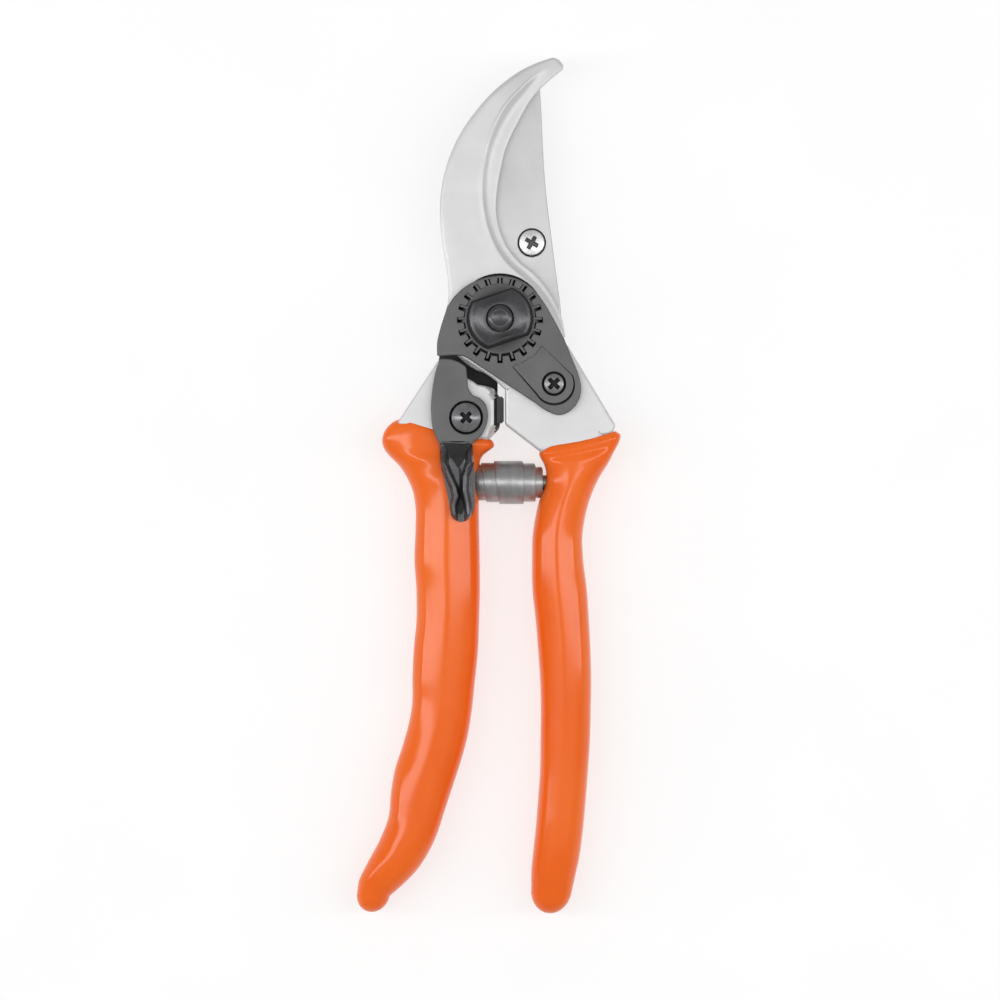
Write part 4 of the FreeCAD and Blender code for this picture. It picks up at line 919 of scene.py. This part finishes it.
def tab_mesh():
    """Thumb tab: a grid between its two edges whose height is the flat falling down a vee facet, plus two
    bell-shaped ridges that run together, less a scooped pocket near the rounded end. The vee facet, the
    pocket and a groove between the ridges take painted shade."""
    keys = np.array([(-15.2, -30.6, -6.9, -30.6), (-15.0, -33.0, -6.8, -33.0), (-14.9, -36.0, -6.5, -36.0),
                     (-14.2, -39.0, -6.3, -39.0), (-13.5, -42.0, -6.2, -42.0), (-12.9, -45.0, -6.2, -45.0),
                     (-12.5, -47.6, -6.5, -47.6), (-12.0, -49.3, -7.2, -49.3), (-11.0, -50.3, -8.3, -50.3),
                     (-10.2, -50.7, -9.2, -50.7)])
    lines = curve(keys, 150)
    share = np.linspace(0, 1, 60)
    x = lines[:, :1] + (lines[:, 2:3] - lines[:, :1]) * share
    y = lines[:, 1:2] + (lines[:, 3:4] - lines[:, 1:2]) * share
    flat = CATCH_BACK + 2.1
    facet = flat - 1.5 * np.clip((-y - 30.9) / 7.0, 0, 1)
    left = ridge(x, y, [(-14.2, -31), (-14.0, -36.4), (-12.6, -39.4), (-11.4, -42), (-10.9, -44.6),
                        (-11.6, -47), (-11.4, -50.6)], 1.0)
    right = ridge(x, y, [(-7.3, -31), (-7.5, -35.9), (-8.7, -39.2), (-8.8, -42.9), (-8.2, -46),
                         (-7.8, -48.6), (-8.4, -50.6)], 0.95)
    stem = smoothstep(-y, 31.0, 37.0)
    rise = np.maximum(left, right) * (0.1 + 3.0 * stem)
    scoop = np.exp(-((x + 9.9) / 1.3) ** 2 - ((y + 47.4) / 2.2) ** 2)
    edge = np.minimum(share, 1 - share) * (lines[:, 2:3] - lines[:, :1])
    rounding = 1.0 * (1 - smoothstep(edge, 0, 0.9)) ** 1.5
    tail = 1.8 * smoothstep(-y, 48.4, 50.9) ** 2
    top = np.clip(facet + rise - 0.8 * scoop - rounding - tail, TAB_BACK + 0.3, high("catch_lever", 2))
    upper = np.stack([x, y, top], axis=-1)
    under = np.stack([x, y, np.where(-y < 34, CATCH_BACK + 0.3, TAB_BACK)], axis=-1)
    rings = np.concatenate([upper, under[:, ::-1]], axis=1)[::-1]
    vee = np.abs(x + 10.4) < np.interp(-y, [30.9, 37.4], [4.3, 0.2])
    vee &= (-y > 30.9) & (-y < 37.4)
    pocket = ((x + 9.9) / 1.1) ** 2 + ((y + 46.6) / 2.4) ** 2 < 1
    groove = (np.abs(x + 9.95) < 0.35) & (-y > 37.2) & (-y < 45)
    # The vee facet, the pocket and the groove are painted black as shade.
    dark = vee | pocket | groove
    marked = np.concatenate([dark, np.zeros_like(dark)], axis=1)[::-1].ravel()
    return *tube(rings), np.concatenate([marked, [False, False]])


# ---------------------------------------------------------------- spring

def build_spring():
    """Volute spring: five wide turns of strip, widest at the middle, each its own helical band; the turns
    of the real spring slide over each other as the handles open."""
    y, z = -40.9, GRIP_MIDDLE
    section = [(-1, 0), (-1, -0.5), (1, -0.5), (1, 0), (0.97, 0.04), (-0.97, 0.04)]
    side, depth = np.array(section).T
    angle = np.linspace(-math.pi * 1.04, math.pi * 1.04, 110)
    slope = 1.5 * np.sin(angle / 2.08)
    turns = [(-3.2, 4.6, 7.4, 0.10), (-0.5, 5.0, 8.4, 0.30), (2.2, 5.5, 7.4, 0.50), (5.2, 4.9, 7.4, 0.71),
             (7.9, 4.0, 5.6, 0.90)]
    for number, (x, radius, width, share) in enumerate(turns, start=1):
        r = radius - 0.16 * np.abs(angle) / math.pi
        half = width / 2 - 0.5 * np.abs(slope)
        reach = r[:, None] + depth - 0.04
        around = angle[:, None] + 0.6
        rings = np.stack([x + slope[:, None] * 0.5 + side * half[:, None],
                          y + reach * np.cos(around), z + reach * np.sin(around)], axis=-1)
        band = new_piece("spring_turn_%d" % number, tube(rings), SPRING, None)
        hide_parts("volute_spring")
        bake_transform(band)


# ---------------------------------------------------------------- small pieces and the studio

def dress_small_nodes():
    """Gives the small nodes that keep their own mesh the finish of their slot."""
    finishes = {"pivot_bush": BRASS, "thrust_washer": ZINC, "catch_washer": COATED, "stop_cushion": RUBBER,
                "left_spring_peg": SPRING, "right_spring_peg": SPRING}
    for node, material in finishes.items():
        mesh = bpy.data.objects[node].data
        mesh.materials.clear()
        mesh.materials.append(material)


def build_floor():
    """Evenly lit light table just below the shears."""
    size, level = 3.0, -0.0002
    mesh = bpy.data.meshes.new("floor")
    corners = [(-size, -size, level), (size, -size, level), (size, size, level), (-size, size, level)]
    mesh.from_pydata(corners, [], [(0, 1, 2, 3)])
    floor = bpy.data.objects.new("floor", mesh)
    bpy.context.scene.collection.objects.link(floor)
    steady = {"IOR": 1.45, "Specular IOR Level": 0.1, "Emission Color": (1, 1, 1, 1),
              "Emission Strength": 0.66}
    mesh.materials.append(surface("light_table_top", steady, ("#a0a0a0", "#a4a4a4"), (60.0, (1, 1, 1)),
                                  (2.0, (1, 1, 1)), (0.75, 0.85), 0.01))


def add_light(name, place, aim, size, watts):
    """Rectangular soft light at a place, facing a point."""
    data = bpy.data.lights.new(name, "AREA")
    data.shape = "RECTANGLE"
    data.size, data.size_y = size
    data.energy = watts
    lamp = bpy.data.objects.new(name, data)
    lamp.location = place
    lamp.rotation_euler = (Vector(place) - Vector(aim)).to_track_quat("Z", "Y").to_euler()
    bpy.context.scene.collection.objects.link(lamp)


def build_studio():
    """Two narrow soft boxes beside the shears, two wide ones above them and an even pale surround."""
    middle = (0, -0.04, 0.01)
    add_light("left_box", (-0.56, -0.04, 0.62), middle, (0.12, 1.2), 2.7)
    add_light("right_box", (0.50, -0.04, 0.60), middle, (0.10, 1.2), 2.0)
    add_light("top_left", (-0.75, -0.04, 1.65), middle, (1.1, 1.6), 2.6)
    add_light("top_right", (0.75, -0.04, 1.65), middle, (1.1, 1.6), 2.6)
    world = bpy.data.worlds.new("studio")
    bpy.context.scene.world = world
    world.use_nodes = True
    world.node_tree.nodes["Background"].inputs["Color"].default_value = (1, 1, 1, 1)
    world.node_tree.nodes["Background"].inputs["Strength"].default_value = 0.40


def build_camera():
    """Long lens straight above the middle of the shears, 250 mm of the work plane in view."""
    reach, view = 1.4, 0.25
    data = bpy.data.cameras.new("camera")
    data.sensor_width = 36
    data.lens = 36 * reach / view
    camera = bpy.data.objects.new("camera", data)
    camera.location = (0, -0.04525, 0.012 + reach)
    bpy.context.scene.collection.objects.link(camera)
    bpy.context.scene.camera = camera
    bpy.context.scene.view_settings.view_transform = "Standard"


build_camera()
build_hook()
build_left_forging()
build_grips()
build_blade()
build_screws()
build_lock()
build_bolt()
build_catch()
build_spring()
dress_small_nodes()
build_floor()
build_studio()
